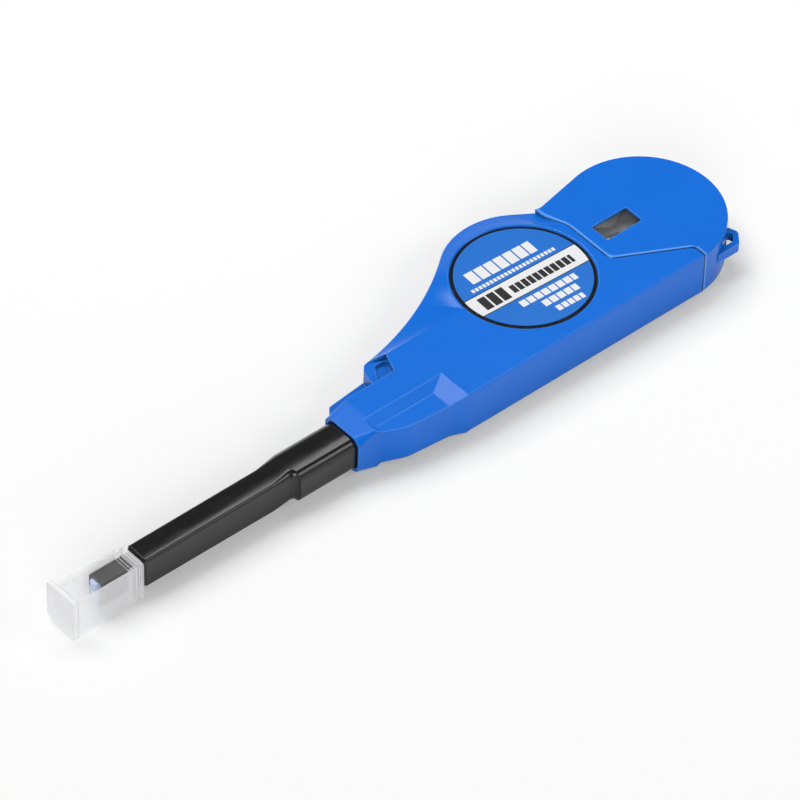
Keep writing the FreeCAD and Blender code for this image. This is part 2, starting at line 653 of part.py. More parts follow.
def tape_loop():
    """The stretch of cleaning tape that goes round the head."""
    body = new_body("tape_loop", "sizes.half_thick")
    pad(body, "outside", head_profile(size("tape_thick") + 0.01, size("loop_back_x")), "sizes.tape_wide",
        both_ways=True)
    pocket(body, "inside", head_profile(0.01, size("loop_back_x") + 0.5), "2 * sizes.tape_wide",
           both_ways=True)


def coil(length, turns, mean_radius, wire):
    """Compression spring of many-sided wire along +X, from the middle of its first turn's wire."""
    rise = length - 2 * size("spring_play") - 2 * size("spring_seat") * wire
    spine = Part.makeHelix(rise / turns, rise, mean_radius)
    corners = []
    for side in range(WIRE_SIDES):
        turn = 2 * math.pi * (side + 0.5) / WIRE_SIDES
        corners.append(Vector(mean_radius + wire / 2 * math.cos(turn), 0, wire / 2 * math.sin(turn)))
    wire_section = Part.makePolygon(corners + corners[:1])
    spring = Part.Wire(spine.Edges).makePipeShell([wire_section], True, True)
    spring.rotate(Vector(0, 0, 0), Vector(0, 1, 0), 90)
    return spring


def springs():
    """Return spring behind the drive slider and the small one behind the tip."""
    wire, fine_wire = size("spring_wire"), size("tip_spring_wire")
    piece = solid("return_spring", coil(size("spring_long"), size("spring_turns"), size("spring_rad"), wire))
    piece.setExpression("Placement.Base.x",
                        "sizes.spring_x + sizes.spring_play + sizes.spring_seat * sizes.spring_wire")
    piece.setExpression("Placement.Base.y", "sizes.spring_y")
    piece.setExpression("Placement.Base.z", "sizes.half_thick")
    fine_rad = (size("tip_wide") - fine_wire) / 2
    piece = solid("tip_spring", coil(size("tip_spring_long"), size("tip_spring_turns"), fine_rad, fine_wire))
    piece.setExpression("Placement.Base.x",
                        "sizes.tip_back_x + sizes.spring_play + sizes.spring_seat * sizes.tip_spring_wire")
    piece.setExpression("Placement.Base.z", "sizes.half_thick")


# ---------------------------------------------------------------- guide cap

def cap_sides(depth=0.0):
    """Rounded section of the cap, moved inwards by a depth."""
    wide, tall, middle = size("cap_wide") / 2 - depth, size("cap_tall") / 2 - depth, size("cap_shift_y")
    return rectangle(middle - wide, middle + wide, -tall, tall, size("cap_round") - depth / 2)


def guide_cap():
    """Frosted guide cap that sits on the tip: a square box, a waist and an end collar."""
    body = new_body("guide_cap", "sizes.half_thick")
    pad(body, "box", cap_sides(), "sizes.cap_neck_x - sizes.lid_seat_x - sizes.lid_gap",
        "sizes.lid_seat_x + sizes.lid_gap", "YZ_Plane")
    pad(body, "waist", cap_sides(size("collar_step")), "sizes.cap_neck_long", "sizes.cap_neck_x", "YZ_Plane")
    pad(body, "collar", cap_sides(size("collar_step") / 4), "sizes.collar_thick",
        "sizes.cap_back_x - sizes.collar_thick", "YZ_Plane")
    pocket(body, "room", cap_sides(size("cap_wall")), "sizes.cap_neck_x - sizes.cap_wall - sizes.lid_seat_x",
           "sizes.lid_seat_x", "YZ_Plane", upwards=True)
    wide, tall = size("tip_wide") / 2 + size("cap_play"), size("tip_tall") / 2 + size("cap_play")
    pocket(body, "tip_hole", rectangle(-wide, wide, -tall, tall),
           "sizes.cap_neck_long + 2 * sizes.cap_wall", "sizes.cap_neck_x - 1.5 * sizes.cap_wall",
           "YZ_Plane", upwards=True)


def cap_lid():
    """Front lid of the cap, with a finger tab on its far side."""
    body = new_body("cap_lid", "sizes.half_thick")
    tall, tab, corner = size("cap_tall") / 2, size("lid_tab"), size("cap_round")
    near, far = size("cap_shift_y") - size("cap_wide") / 2, size("cap_shift_y") + size("cap_wide") / 2
    outline = [(near, -tall, corner), (far, -tall, 1.6), (far + tab, tab - tall, 0.6),
               (far + tab, tall, 0.6), (near, tall, corner)]
    pad(body, "plate", rounded(outline), "sizes.lid_thick", "sizes.cap_front_x", "YZ_Plane")


# ---------------------------------------------------------------- drive

def pitch_radius():
    """Pitch radius of the drive pinion."""
    return size("tooth_module") * size("pinion_teeth") / 2


def drive_slider():
    """Slider behind the barrel: spigot, flat arm, rack and spring lug in one moulding."""
    body = new_body("drive_slider", "sizes.half_thick")
    root_x, spring_x = size("barrel_root_x"), size("spring_x")
    spigot_y, spigot_z = size("stout_wide") / 2 - 1.65, size("stout_tall") / 2 - 1.35
    pad(body, "spigot", rectangle(-spigot_y, spigot_y, -spigot_z, spigot_z, 0.4), "2 * sizes.spigot_long + 2",
        "sizes.barrel_root_x - sizes.spigot_long", "YZ_Plane")
    module = size("tooth_module")
    pitch_y = size("label_y") - pitch_radius()
    root_y = pitch_y - 1.25 * module
    pitch = math.pi * module
    count = int(size("rack_teeth"))
    first_x = -pitch * (count - 4)
    near_y, lug = size("spring_y") - 2.0, 2.0
    wide_x = size("dish_back_x") + size("stroke") + 3.0
    arm = [(root_x + 2.0, -spigot_y), (wide_x, -spigot_y), (wide_x + 5.0, near_y), (spring_x, near_y),
           (spring_x, root_y), (first_x - pitch, root_y), (first_x - 2 * pitch, spigot_y),
           (root_x + 2.0, spigot_y)]
    pad(body, "arm", polygon(arm), "sizes.arm_thick", "sizes.arm_low_z - sizes.half_thick")
    slope = math.tan(math.radians(20.0))
    half_pitch_tooth = pitch / 4 - 0.08
    foot, tip = half_pitch_tooth + 1.25 * module * slope, half_pitch_tooth - module * slope
    crest_y = pitch_y + module
    tooth = polygon([(first_x - foot, root_y - 0.3), (first_x + foot, root_y - 0.3), (first_x + foot, root_y),
                     (first_x + tip, crest_y), (first_x - tip, crest_y), (first_x - foot, root_y)])
    rack_tooth = pad(body, "rack_tooth", tooth, "sizes.arm_thick", "sizes.arm_low_z - sizes.half_thick")
    pattern(body, "rack", rack_tooth, "sizes.rack_teeth",
            length="pi * sizes.tooth_module * (sizes.rack_teeth - 1)")
    pad(body, "spring_lug", rectangle(spring_x - lug, spring_x, near_y, near_y + 4.0),
        "sizes.arm_low_z - sizes.half_thick + 2.6", "-2.6")
    pad(body, "spring_stub", disc(size("spring_y"), 0, size("spring_rad") - size("spring_wire") / 2 - 0.2),
        "sizes.spring_wire * 4", "sizes.spring_x", "YZ_Plane")
    duct_y, duct_z = size("run_half_gap") + 0.35, size("tape_wide") / 2 + 0.5
    pocket(body, "tape_duct", rectangle(-duct_y, duct_y, -duct_z, duct_z, 0.4), "3 * sizes.spigot_long",
           "sizes.barrel_root_x - sizes.spigot_long - 1", "YZ_Plane", upwards=True)


def shaft_bore(body):
    """Running bore of a wheel for its post, through the whole wheel."""
    pocket(body, "bore", disc(0, 0, size("post_rad") + size("bore_play")), "2 * sizes.body_thick",
           both_ways=True)


def involute_tooth(count, module, centre_deg):
    """Outline of one gear tooth with involute sides, about a direction."""
    pitch_rad = module * count / 2
    base_rad = pitch_rad * math.cos(math.radians(20.0))
    root_rad, tip_rad = pitch_rad - 1.25 * module, pitch_rad + module
    half_at_pitch = math.pi / (2 * count) - 0.06 / pitch_rad

    def spread(radius):
        lean = math.acos(min(base_rad / radius, 1.0))
        return math.tan(lean) - lean

    steps = 3
    radii = [root_rad - 0.3] + [max(root_rad, base_rad) + (tip_rad - max(root_rad, base_rad)) * k / steps
                                for k in range(steps + 1)]
    side = []
    for radius in radii:
        half = half_at_pitch + spread(pitch_rad) - spread(max(radius, base_rad))
        side.append((radius, half))
    centre = math.radians(centre_deg)
    points = [(radius * math.cos(centre - half), radius * math.sin(centre - half)) for radius, half in side]
    for radius, half in reversed(side):
        points.append((radius * math.cos(centre + half), radius * math.sin(centre + half)))
    return polygon(points)


def drive_pinion():
    """Pinion on the take-up post, turned by the rack."""
    body = new_body("drive_pinion", "sizes.arm_low_z", y="sizes.label_y")
    count, module = int(size("pinion_teeth")), size("tooth_module")
    pad(body, "root_disc", disc(0, 0, pitch_radius() - 1.25 * module), "sizes.arm_thick")
    step = 360.0 / count
    tooth = pad(body, "tooth", involute_tooth(count, module, -90.0 + step / 2), "sizes.arm_thick")
    pattern(body, "teeth", tooth, "sizes.pinion_teeth", angle=360.0)
    shaft_bore(body)


def take_up_reel():
    """Spool that winds the used tape, with ratchet teeth round its lower flange."""
    body = new_body("take_up_reel", "sizes.flange_low_z", y="sizes.label_y")
    count = int(size("ratchet_teeth"))
    tip_rad = size("ratchet_rad")
    root_rad = tip_rad - 1.0
    pad(body, "ratchet_disc", disc(0, 0, root_rad), "sizes.flange_thick")
    step = 2 * math.pi / count
    low_rad, back = root_rad - 0.4, -0.85 * step
    points = [(low_rad, 0.0), (tip_rad, 0.0), (root_rad, back), (low_rad, back)]
    tooth = pad(body, "ratchet_tooth", polygon([(r * math.cos(a), r * math.sin(a)) for r, a in points]),
                "sizes.flange_thick")
    pattern(body, "ratchet", tooth, "sizes.ratchet_teeth", angle=360.0)
    pad(body, "hub", disc(0, 0, size("hub_rad")), "sizes.drum_low_z + sizes.flange_thick")
    pad(body, "flange", disc(0, 0, size("take_up_rad")), "sizes.flange_thick",
        "sizes.drum_low_z")
    shaft_bore(body)


def supply_reel():
    """Spool of fresh tape, with an open spoked flange under the window."""
    body = new_body("supply_reel", "sizes.flange_low_z", "sizes.tail_x", "sizes.tail_y")
    hub_rad, rim_rad = size("supply_hub_rad"), size("supply_rad")
    pad(body, "lower_flange", disc(0, 0, rim_rad), "sizes.flange_thick")
    pad(body, "hub", disc(0, 0, hub_rad), "sizes.drum_low_z + sizes.flange_thick")
    pad(body, "upper_flange", disc(0, 0, rim_rad), "sizes.flange_thick", "sizes.drum_low_z")
    first, last = size("spoke_deg") + 8.0, size("spoke_deg") + 82.0
    inner, outer = arc(0, 0, hub_rad + 0.8, first, last), arc(0, 0, rim_rad - 1.4, first, last)
    opening = [inner, Part.LineSegment(inner.EndPoint, outer.EndPoint), outer,
               Part.LineSegment(outer.StartPoint, inner.StartPoint)]
    gap = pocket(body, "opening", opening, "sizes.flange_thick + 0.5",
                 "sizes.drum_low_z + sizes.flange_thick")
    pattern(body, "openings", gap, "4", angle=360.0)
    shaft_bore(body)


def tape_roll(label, x, y, inner, outer):
    """Wound tape on a hub, all its turns as one ring."""
    body = new_body(label, "sizes.half_thick", x, y)
    pad(body, "turns", disc(0, 0, outer), "sizes.tape_wide", both_ways=True)
    pocket(body, "hub_hole", disc(0, 0, inner + 0.01), "2 * sizes.tape_wide", both_ways=True)


def ribbon(points):
    """Plan outline of a tape laid along a few straight runs."""
    half = size("tape_thick") / 2
    near, far = [], []
    for i, (x, y) in enumerate(points):
        before, after = points[max(i - 1, 0)], points[min(i + 1, len(points) - 1)]
        heading = Vector(after[0] - before[0], after[1] - before[1], 0).normalize()
        near.append((x + heading.y * half, y - heading.x * half))
        far.append((x - heading.y * half, y + heading.x * half))
    return polygon(near + far[::-1])


def tape_runs():
    """Tape between the reels and the tip: the fresh run and the used run."""
    gap, half = size("run_half_gap"), size("tape_thick") / 2
    front = size("tape_front_x")
    feed = new_body("tape_feed_run", "sizes.half_thick")
    pad(feed, "run", ribbon([(size("tail_x") - 1.0, size("tail_y") - size("fresh_roll_rad") - half - 0.04),
                             (size("feed_post_x"), -gap), (front, -gap)]), "sizes.tape_wide", both_ways=True)
    used = new_body("tape_return_run", "sizes.half_thick")
    post_x, radius = size("return_post_x"), size("used_roll_rad") + half + 0.02
    centre = Vector(-post_x, size("label_y") - gap, 0)
    turn = math.atan2(centre.y, centre.x) - math.asin(radius / centre.Length)
    reach = math.sqrt(centre.Length ** 2 - radius ** 2)
    touch = (post_x + reach * math.cos(turn), gap + reach * math.sin(turn))
    pad(used, "run", ribbon([(front, gap), (post_x, gap), touch]), "sizes.tape_wide", both_ways=True)


def pawl_pivot():
    """Place of the stop pawl's pivot beside the ratchet."""
    turn = math.radians(size("pawl_deg"))
    return (size("pawl_reach") * math.cos(turn), size("label_y") + size("pawl_reach") * math.sin(turn))


def stop_pawl():
    """Sprung pawl that stops the take-up reel from turning back, shown riding on the tooth tips."""
    body = new_body("stop_pawl", "sizes.flange_low_z")
    x, y = pawl_pivot()
    reach = size("ratchet_rad") + 0.15
    tip_turn = math.radians(size("pawl_deg") - 26.0)
    tip = (reach * math.cos(tip_turn), size("label_y") + reach * math.sin(tip_turn))
    pad(body, "arm", polygon([(x - 0.2, y - 1.5), tip, (tip[0] + 0.1, tip[1] + 0.8), (x, y + 1.5)]),
        "sizes.flange_thick")
    pad(body, "eye", disc(x, y, 1.7), "sizes.flange_thick")
    pocket(body, "pivot_hole", disc(x, y, 1.0 + size("bore_play")), "sizes.body_thick", "-1", upwards=True)


def mechanism_plate():
    """Inner plate on the housing floor: reel posts, tape guides, pawl pivot and spring seat."""
    body = new_body("mechanism_plate", "sizes.plate_low_z")
    label_y, wall, near = size("label_y"), size("wall"), size("near_side")
    tail_x, tail_y = size("tail_x"), size("tail_y")
    near_y = wall - near + 0.8
    pad(body, "strip", rounded([(size("return_post_x") - 4.0, near_y, 1.0), (tail_x + 2.0, near_y, 1.0),
                                (tail_x + 2.0, 11.0, 0.0), (size("return_post_x") - 4.0, 11.0, 1.0)]),
        "sizes.plate_thick")
    pad(body, "drum_floor", disc(0, label_y, size("ring_rad") - wall - 0.3), "sizes.plate_thick")
    pad(body, "tail_floor", disc(tail_x, tail_y, size("tail_rad") - wall - 0.6), "sizes.plate_thick")
    base = "sizes.plate_low_z"
    top = f"sizes.flange_low_z - {base}"
    post = size("post_rad")
    pinion_top, reel_top = "sizes.arm_low_z + sizes.arm_thick", "sizes.flange_top_z + sizes.flange_thick"
    for name, x, y, reach in (("take_up", 0.0, label_y, pinion_top), ("supply", tail_x, tail_y, reel_top)):
        pad(body, name + "_collar", disc(x, y, post + 1.4), f"{top} - 0.1")
        pad(body, name + "_post", disc(x, y, post), f"{reach} + 0.2 - {base}")
    gap, guide = size("run_half_gap") + size("tape_thick") / 2 + 0.03, size("guide_rad")
    tape_top = f"sizes.half_thick + sizes.tape_wide / 2 + 0.4 - {base}"
    pad(body, "feed_guide", disc(size("feed_post_x"), -gap - guide, guide), tape_top)
    pad(body, "return_guide", disc(size("return_post_x"), gap + guide, guide), tape_top)
    x, y = pawl_pivot()
    pad(body, "pawl_collar", disc(x, y, 1.6), f"{top} - 0.1")
    pad(body, "pawl_pin", disc(x, y, 1.0), f"{top} + sizes.flange_thick + 0.3")
    seat_x, spring_y = size("spring_x") + size("spring_long"), size("spring_y")
    pad(body, "spring_seat", rectangle(seat_x, seat_x + 1.6, spring_y - 2.2, spring_y + 2.2),
        f"sizes.arm_low_z - 0.5 - {base}")


def build():
    """Make every piece of the pen."""
    front_shell()
    rear_shell("rear_shell_upper", True)
    rear_shell("rear_shell_lower", False)
    window_pane()
    reel_cover()
    round_label()
    barrel()
    inner_tip()
    cleaning_head()
    tape_loop()
    springs()
    guide_cap()
    cap_lid()
    drive_slider()
    drive_pinion()
    take_up_reel()
    supply_reel()
    tape_roll("take_up_tape", "0", "sizes.label_y", size("hub_rad"), size("used_roll_rad"))
    tape_roll("supply_tape", "sizes.tail_x", "sizes.tail_y", size("supply_hub_rad"), size("fresh_roll_rad"))
    tape_runs()
    stop_pawl()
    mechanism_plate()


def check():
    """Stop if any feature failed or any piece has no sound solid."""
    doc.recompute()
    for item in doc.Objects:
        if "Invalid" in item.State or "Error" in item.State:
            raise RuntimeError(f"{item.Label}: {item.getStatusString()}")
    for piece in PIECES:
        if piece.Shape.isNull() or not piece.Shape.isValid() or not piece.Shape.Solids:
            raise RuntimeError(f"{piece.Label} has no sound solid")


def export():
    """Write each piece to its own STEP file."""
    os.makedirs("parts", exist_ok=True)
    for piece in PIECES:
        piece.Shape.exportStep(f"parts/{piece.Label}.step")
        box = piece.Shape.BoundBox
        print(f"{piece.Label:18} {piece.Shape.Volume:9.1f} mm3  {len(piece.Shape.Solids)} solid  "
              f"{box.XLength:6.1f} x {box.YLength:5.1f} x {box.ZLength:5.1f}")


build()
check()
export()
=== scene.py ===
"""Looks of a push-type fibre connector cleaning pen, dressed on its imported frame.

The pen lies on its side on a pale floor, label up. All lengths are metres in the frame
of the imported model, and fields named _mm are millimetres in it: +X from the cleaning tip
to the tail, +Y towards the side with the reel lobes, +Z up. The CAD nodes keep their
shapes and places, apart from the two springs. This file gives them their finishes, winds
the springs and sets up the studio.
"""
import logging
import math
from abc import ABC, abstractmethod
from dataclasses import dataclass, field, replace
from enum import Enum
from typing import NamedTuple, Union

import bmesh
import bpy
from mathutils import Matrix, Vector


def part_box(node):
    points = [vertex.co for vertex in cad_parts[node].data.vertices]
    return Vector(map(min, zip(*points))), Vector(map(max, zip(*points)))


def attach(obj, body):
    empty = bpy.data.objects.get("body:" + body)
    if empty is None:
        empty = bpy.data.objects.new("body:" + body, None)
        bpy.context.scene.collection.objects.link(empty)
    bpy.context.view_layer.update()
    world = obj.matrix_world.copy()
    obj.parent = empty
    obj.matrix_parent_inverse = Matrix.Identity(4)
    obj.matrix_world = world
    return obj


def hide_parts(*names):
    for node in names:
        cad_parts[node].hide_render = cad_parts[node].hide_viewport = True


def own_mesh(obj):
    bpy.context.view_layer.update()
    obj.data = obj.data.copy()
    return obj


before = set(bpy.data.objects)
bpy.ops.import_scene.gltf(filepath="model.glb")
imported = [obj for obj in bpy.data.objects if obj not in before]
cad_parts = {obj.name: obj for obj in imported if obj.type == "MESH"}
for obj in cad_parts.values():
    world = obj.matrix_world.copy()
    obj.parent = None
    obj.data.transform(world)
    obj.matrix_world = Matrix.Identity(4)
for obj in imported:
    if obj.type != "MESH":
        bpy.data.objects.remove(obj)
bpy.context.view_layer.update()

LOG = logging.getLogger("cleaning_pen")
MM = 0.001

Colour = tuple[float, float, float]
Point = tuple[float, float, float]
Socket = bpy.types.NodeSocket
Feed = Union[Socket, float, Colour]
Material = bpy.types.Material

FLOAT = "NodeSocketFloat"
VECTOR = "NodeSocketVector"


class Body(Enum):
    """Moving bodies of the pen that the springs ride on."""

    HOUSING = "housing"
    BARREL = "barrel"


# ---------------------------------------------------------------- node tree helper

class Graph:
    """Short way to add and wire the nodes of one tree."""

    def __init__(self, tree: bpy.types.NodeTree) -> None:
        """Start on a tree.

        Args:
            tree: Node tree of a material or a group.
        """
        self.tree = tree

    def add(self, kind: str, inputs: dict[str | int, Feed] | None = None, **settings: object) -> bpy.types.Node:
        """Add one node.

        Args:
            kind: Blender's type name of the node.
            inputs: Values or sockets for its inputs, by name or place.
            settings: Values for its properties, set before its inputs.

        Returns:
            The new node.
        """
        node = self.tree.nodes.new(kind)
        for name, value in settings.items():
            setattr(node, name, value)
        for name, value in (inputs or {}).items():
            self.feed(node.inputs[name], value)
        return node

    def feed(self, socket: Socket, value: Feed) -> None:
        """Wire a socket, or set its value.

        Args:
            socket: Input to feed.
            value: Socket to link from, or a plain value.
        """
        if isinstance(value, Socket):
            self.tree.links.new(value, socket)
        elif isinstance(value, tuple) and socket.type == "RGBA":
            socket.default_value = (*value, 1.0)
        else:
            socket.default_value = value

    def group(self, tree: bpy.types.NodeTree, inputs: dict[str, Feed]) -> bpy.types.Node:
        """Place a shared group with its inputs."""
        return self.add("ShaderNodeGroup", inputs, node_tree=tree)

    def place(self) -> Socket:
        """Position in the piece's own frame, which moves with it."""
        return self.add("ShaderNodeTexCoord").outputs["Object"]

    def millimetres(self, place: Socket) -> Socket:
        """Turn a position in metres into one in millimetres."""
        return self.add("ShaderNodeVectorMath", {0: place, "Scale": 1 / MM}, operation="SCALE").outputs[0]

    def split(self, vector: Socket) -> tuple[Socket, ...]:
        """Split a vector into its three parts."""
        return tuple(self.add("ShaderNodeSeparateXYZ", {0: vector}).outputs)

    def math(self, operation: str, *values: Feed) -> Socket:
        """Add a Math node.

        Args:
            operation: Name of the operation.
            values: Its inputs, as sockets or numbers.

        Returns:
            Socket of the result.
        """
        return self.add("ShaderNodeMath", dict(enumerate(values)), operation=operation).outputs[0]

    def vector(self, operation: str, first: Feed, second: Feed, output: str = "Vector") -> Socket:
        """Add a Vector Math node with two inputs.

        Args:
            operation: Name of the operation.
            first: First vector.
            second: Second vector.
            output: Name of the output to use.

        Returns:
            Socket of the result.
        """
        return self.add("ShaderNodeVectorMath", {0: first, 1: second}, operation=operation).outputs[output]

    def ramp(self, value: Feed, start: Feed, end: Feed, low: Feed = 0.0, high: Feed = 1.0,
             smooth: bool = False) -> Socket:
        """Map a value from one range to another and hold it at both ends.

        Args:
            value: Value to map.
            start: Value that gives the low result.
            end: Value that gives the high result.
            low: Result at the start.
            high: Result at the end.
            smooth: Whether the result eases in and out.

        Returns:
            Socket of the result.
        """
        return self.add("ShaderNodeMapRange", {"Value": value, "From Min": start, "From Max": end, "To Min": low,
                                               "To Max": high},
                        interpolation_type="SMOOTHSTEP" if smooth else "LINEAR").outputs[0]

    def scaled(self, share: Socket, low: float, high: float) -> Socket:
        """Spread a share from 0 to 1 over another range."""
        return self.ramp(share, 0.0, 1.0, low, high)

    def between(self, value: Socket, low: Feed, high: Feed, soft: float) -> Socket:
        """Mask that is 1 between two limits and falls off softly outside.

        Args:
            value: Socket to test.
            low: Lower limit.
            high: Upper limit.
            soft: Width of each soft edge.

        Returns:
            Socket of the mask.
        """
        rise = self.ramp(value, self.math("SUBTRACT", low, soft), low)
        fall = self.ramp(value, high, self.math("ADD", high, soft), 1.0, 0.0)
        return self.math("MULTIPLY", rise, fall)

    def mix(self, mask: Socket, first: Feed, second: Feed) -> Socket:
        """Mix two colours by a mask.

        Args:
            mask: Share of the second colour.
            first: Colour where the mask is 0.
            second: Colour where the mask is 1.

        Returns:
            Socket of the mixed colour.
        """
        node = self.add("ShaderNodeMix", data_type="RGBA", clamp_factor=True)
        self.feed(node.inputs[0], mask)
        self.feed(node.inputs[6], first)
        self.feed(node.inputs[7], second)
        return node.outputs[2]

    def bump(self, height: Socket, strength: float, depth_mm: float, normal: Socket | None = None) -> Socket:
        """Tilt the normal along the slopes of a height.

        Args:
            height: Height from 0 to 1.
            strength: Strength of the tilt.
            depth_mm: Height in millimetres where the height is 1.
            normal: Normal to start from, or none for the mesh's own.

        Returns:
            Socket of the normal.
        """
        node = self.add("ShaderNodeBump", {"Strength": strength, "Distance": depth_mm * MM, "Height": height})
        if normal is not None:
            self.feed(node.inputs["Normal"], normal)
        return node.outputs[0]


def tinted(colour: Colour, factor: float) -> Colour:
    """Make a colour darker or lighter by a factor."""
    return tuple(min(channel * factor, 1.0) for channel in colour)


# ---------------------------------------------------------------- shared effects

class GroupParts(NamedTuple):
    """Shader node group that is being made."""

    tree: bpy.types.NodeTree
    graph: Graph
    given: bpy.types.NodeOutputs
    out: bpy.types.NodeInputs


def new_group(name: str, inputs: dict[str, tuple[str, float | None]], outputs: dict[str, str]) -> GroupParts:
    """Start a shader node group with named sockets.

    Args:
        name: Name of the group.
        inputs: Socket type and default of each input, by name.
        outputs: Socket type of each output, by name.

    Returns:
        The group's tree and graph, what it is given and what it puts out.
    """
    tree = bpy.data.node_groups.new(name, "ShaderNodeTree")
    for label, (kind, default) in inputs.items():
        socket = tree.interface.new_socket(label, in_out="INPUT", socket_type=kind)
        if default is not None:
            socket.default_value = default
    for label, kind in outputs.items():
        tree.interface.new_socket(label, in_out="OUTPUT", socket_type=kind)
    graph = Graph(tree)
    return GroupParts(tree, graph, graph.add("NodeGroupInput").outputs, graph.add("NodeGroupOutput").inputs)


@dataclass(frozen=True)
class EffectSizes:
    """Fixed numbers of the shared effects: each noise has its detail and its roughness."""

    grain: tuple[float, float] = (2.0, 0.55)
    mottle: tuple[float, float] = (3.0, 0.5)
    marks: tuple[float, float] = (6.0, 0.65)
    marks_from: float = 0.48
    marks_full: float = 0.56
    streak_stretch: Point = (0.25, 1.0, 1.0)
    print_soft_mm: float = 0.06
    edge_samples: int = 8


SIZES = EffectSizes()


def moulded_skin_group() -> bpy.types.NodeTree:
    """Fine texture of a moulded surface: sparked grain, slow mottle and handling marks.

    Returns:
        Group with Height, Mottle and Marks outputs.
    """
    tree, graph, given, out = new_group(
        "moulded_skin",
        {"Vector": (VECTOR, None), "Grain Size": (FLOAT, 0.2), "Mottle Size": (FLOAT, 12.0),
         "Marks Size": (FLOAT, 3.0)},
        {"Height": FLOAT, "Mottle": FLOAT, "Marks": FLOAT})
    millimetres = graph.millimetres(given["Vector"])

    def noise(size: str, fineness: tuple[float, float], place: Socket = millimetres) -> Socket:
        """Noise whose features are as large as one of the group's sizes.

        Args:
            size: Name of the input with the size.
            fineness: Detail and roughness of the noise.
            place: Position in millimetres.

        Returns:
            Socket of the noise, from 0 to 1.
        """
        scale = graph.math("DIVIDE", 1.0, given[size])
        detail, roughness = fineness
        return graph.add("ShaderNodeTexNoise", {"Vector": place, "Scale": scale, "Detail": detail,
                                                "Roughness": roughness}).outputs["Fac"]

    graph.feed(out["Height"], noise("Grain Size", SIZES.grain))
    graph.feed(out["Mottle"], noise("Mottle Size", SIZES.mottle))
    streaks = graph.add("ShaderNodeMapping", {"Vector": millimetres, "Scale": SIZES.streak_stretch}).outputs[0]
    marks = noise("Marks Size", SIZES.marks, streaks)
    graph.feed(out["Marks"], graph.ramp(marks, SIZES.marks_from, SIZES.marks_full))
    return tree


def thin_line_group() -> bpy.types.NodeTree:
    """Thin line across a surface where one coordinate has a given value.

    Returns:
        Group with a Mask output.
    """
    tree, graph, given, out = new_group(
        "thin_line", {"Value": (FLOAT, 0.0), "Middle": (FLOAT, 0.0), "Half Width": (FLOAT, 0.1 * MM)},
        {"Mask": FLOAT})
    away = graph.math("ABSOLUTE", graph.math("SUBTRACT", given["Value"], given["Middle"]))
    graph.feed(out["Mask"], graph.ramp(away, 0.0, given["Half Width"], 1.0, 0.0))
    return tree


def dash_row_group() -> bpy.types.NodeTree:
    """Row of printed dashes between four limits.

    Returns:
        Group with a Mask output.
    """
    tree, graph, given, out = new_group(
        "dash_row",
        {"Along": (FLOAT, 0.0), "Across": (FLOAT, 0.0), "Start": (FLOAT, 0.0), "End": (FLOAT, 0.0),
         "Low": (FLOAT, 0.0), "High": (FLOAT, 0.0), "Pitch": (FLOAT, 2.0), "Fill": (FLOAT, 0.7)},
        {"Mask": FLOAT})
    along = graph.between(given["Along"], given["Start"], given["End"], SIZES.print_soft_mm)
    across = graph.between(given["Across"], given["Low"], given["High"], SIZES.print_soft_mm)
    step = graph.math("SUBTRACT", given["Along"], given["Start"])
    share = graph.math("FRACT", graph.math("DIVIDE", step, given["Pitch"]))
    dash = graph.math("LESS_THAN", share, given["Fill"])
    graph.feed(out["Mask"], graph.math("MULTIPLY", graph.math("MULTIPLY", along, across), dash))
    return tree


def rounded_edge_highlight_group() -> bpy.types.NodeTree:
    """Rounded normal near sharp edges and a mask of those edges, which the finishes use to paint highlights along
    them.

    Returns:
        Group with Mask and Normal outputs.
    """
    tree, graph, given, out = new_group(
        "rounded_edge_highlight", {"Radius": (FLOAT, 0.4 * MM), "First Bend": (FLOAT, 0.008), "Full Bend": (FLOAT, 0.07)},
        {"Mask": FLOAT, "Normal": VECTOR})
    rounded = graph.add("ShaderNodeBevel", {"Radius": given["Radius"]}, samples=SIZES.edge_samples).outputs[0]
    flat = graph.add("ShaderNodeNewGeometry").outputs["Normal"]
    bend = graph.math("SUBTRACT", 1.0, graph.vector("DOT_PRODUCT", rounded, flat, "Value"))
    # The mask marks the edges where a painted highlight goes.
    graph.feed(out["Mask"], graph.ramp(bend, given["First Bend"], given["Full Bend"]))
    graph.feed(out["Normal"], rounded)
    return tree


def seam_segment_group() -> bpy.types.NodeTree:
    """Soft line along one straight run between two points.

    Returns:
        Group with a Mask output.
    """
    tree, graph, given, out = new_group(
        "seam_segment",
        {"Place": (VECTOR, None), "Start": (VECTOR, None), "End": (VECTOR, None),
         "Full Width": (FLOAT, 0.2 * MM), "Soft Width": (FLOAT, 0.4 * MM)},
        {"Mask": FLOAT})
    run = graph.vector("SUBTRACT", given["End"], given["Start"])
    off = graph.vector("SUBTRACT", given["Place"], given["Start"])
    share = graph.math("DIVIDE", graph.vector("DOT_PRODUCT", off, run, "Value"),
                       graph.vector("DOT_PRODUCT", run, run, "Value"))
    share = graph.add("ShaderNodeClamp", {"Value": share}).outputs[0]
    nearest = graph.add("ShaderNodeVectorMath", {0: run, "Scale": share}, operation="SCALE").outputs[0]
    gap = graph.vector("DISTANCE", off, nearest, "Value")
    graph.feed(out["Mask"], graph.ramp(gap, given["Full Width"], given["Soft Width"], 1.0, 0.0))
    return tree


@dataclass(frozen=True)
class Effects:
    """Shader groups that several finishes share."""

    skin: bpy.types.NodeTree
    line: bpy.types.NodeTree
    dashes: bpy.types.NodeTree
    edge: bpy.types.NodeTree
    segment: bpy.types.NodeTree

    @classmethod
    def build(cls) -> "Effects":
        """Make each group once."""
        return cls(moulded_skin_group(), thin_line_group(), dash_row_group(), rounded_edge_highlight_group(),
                   seam_segment_group())


# ---------------------------------------------------------------- finishes

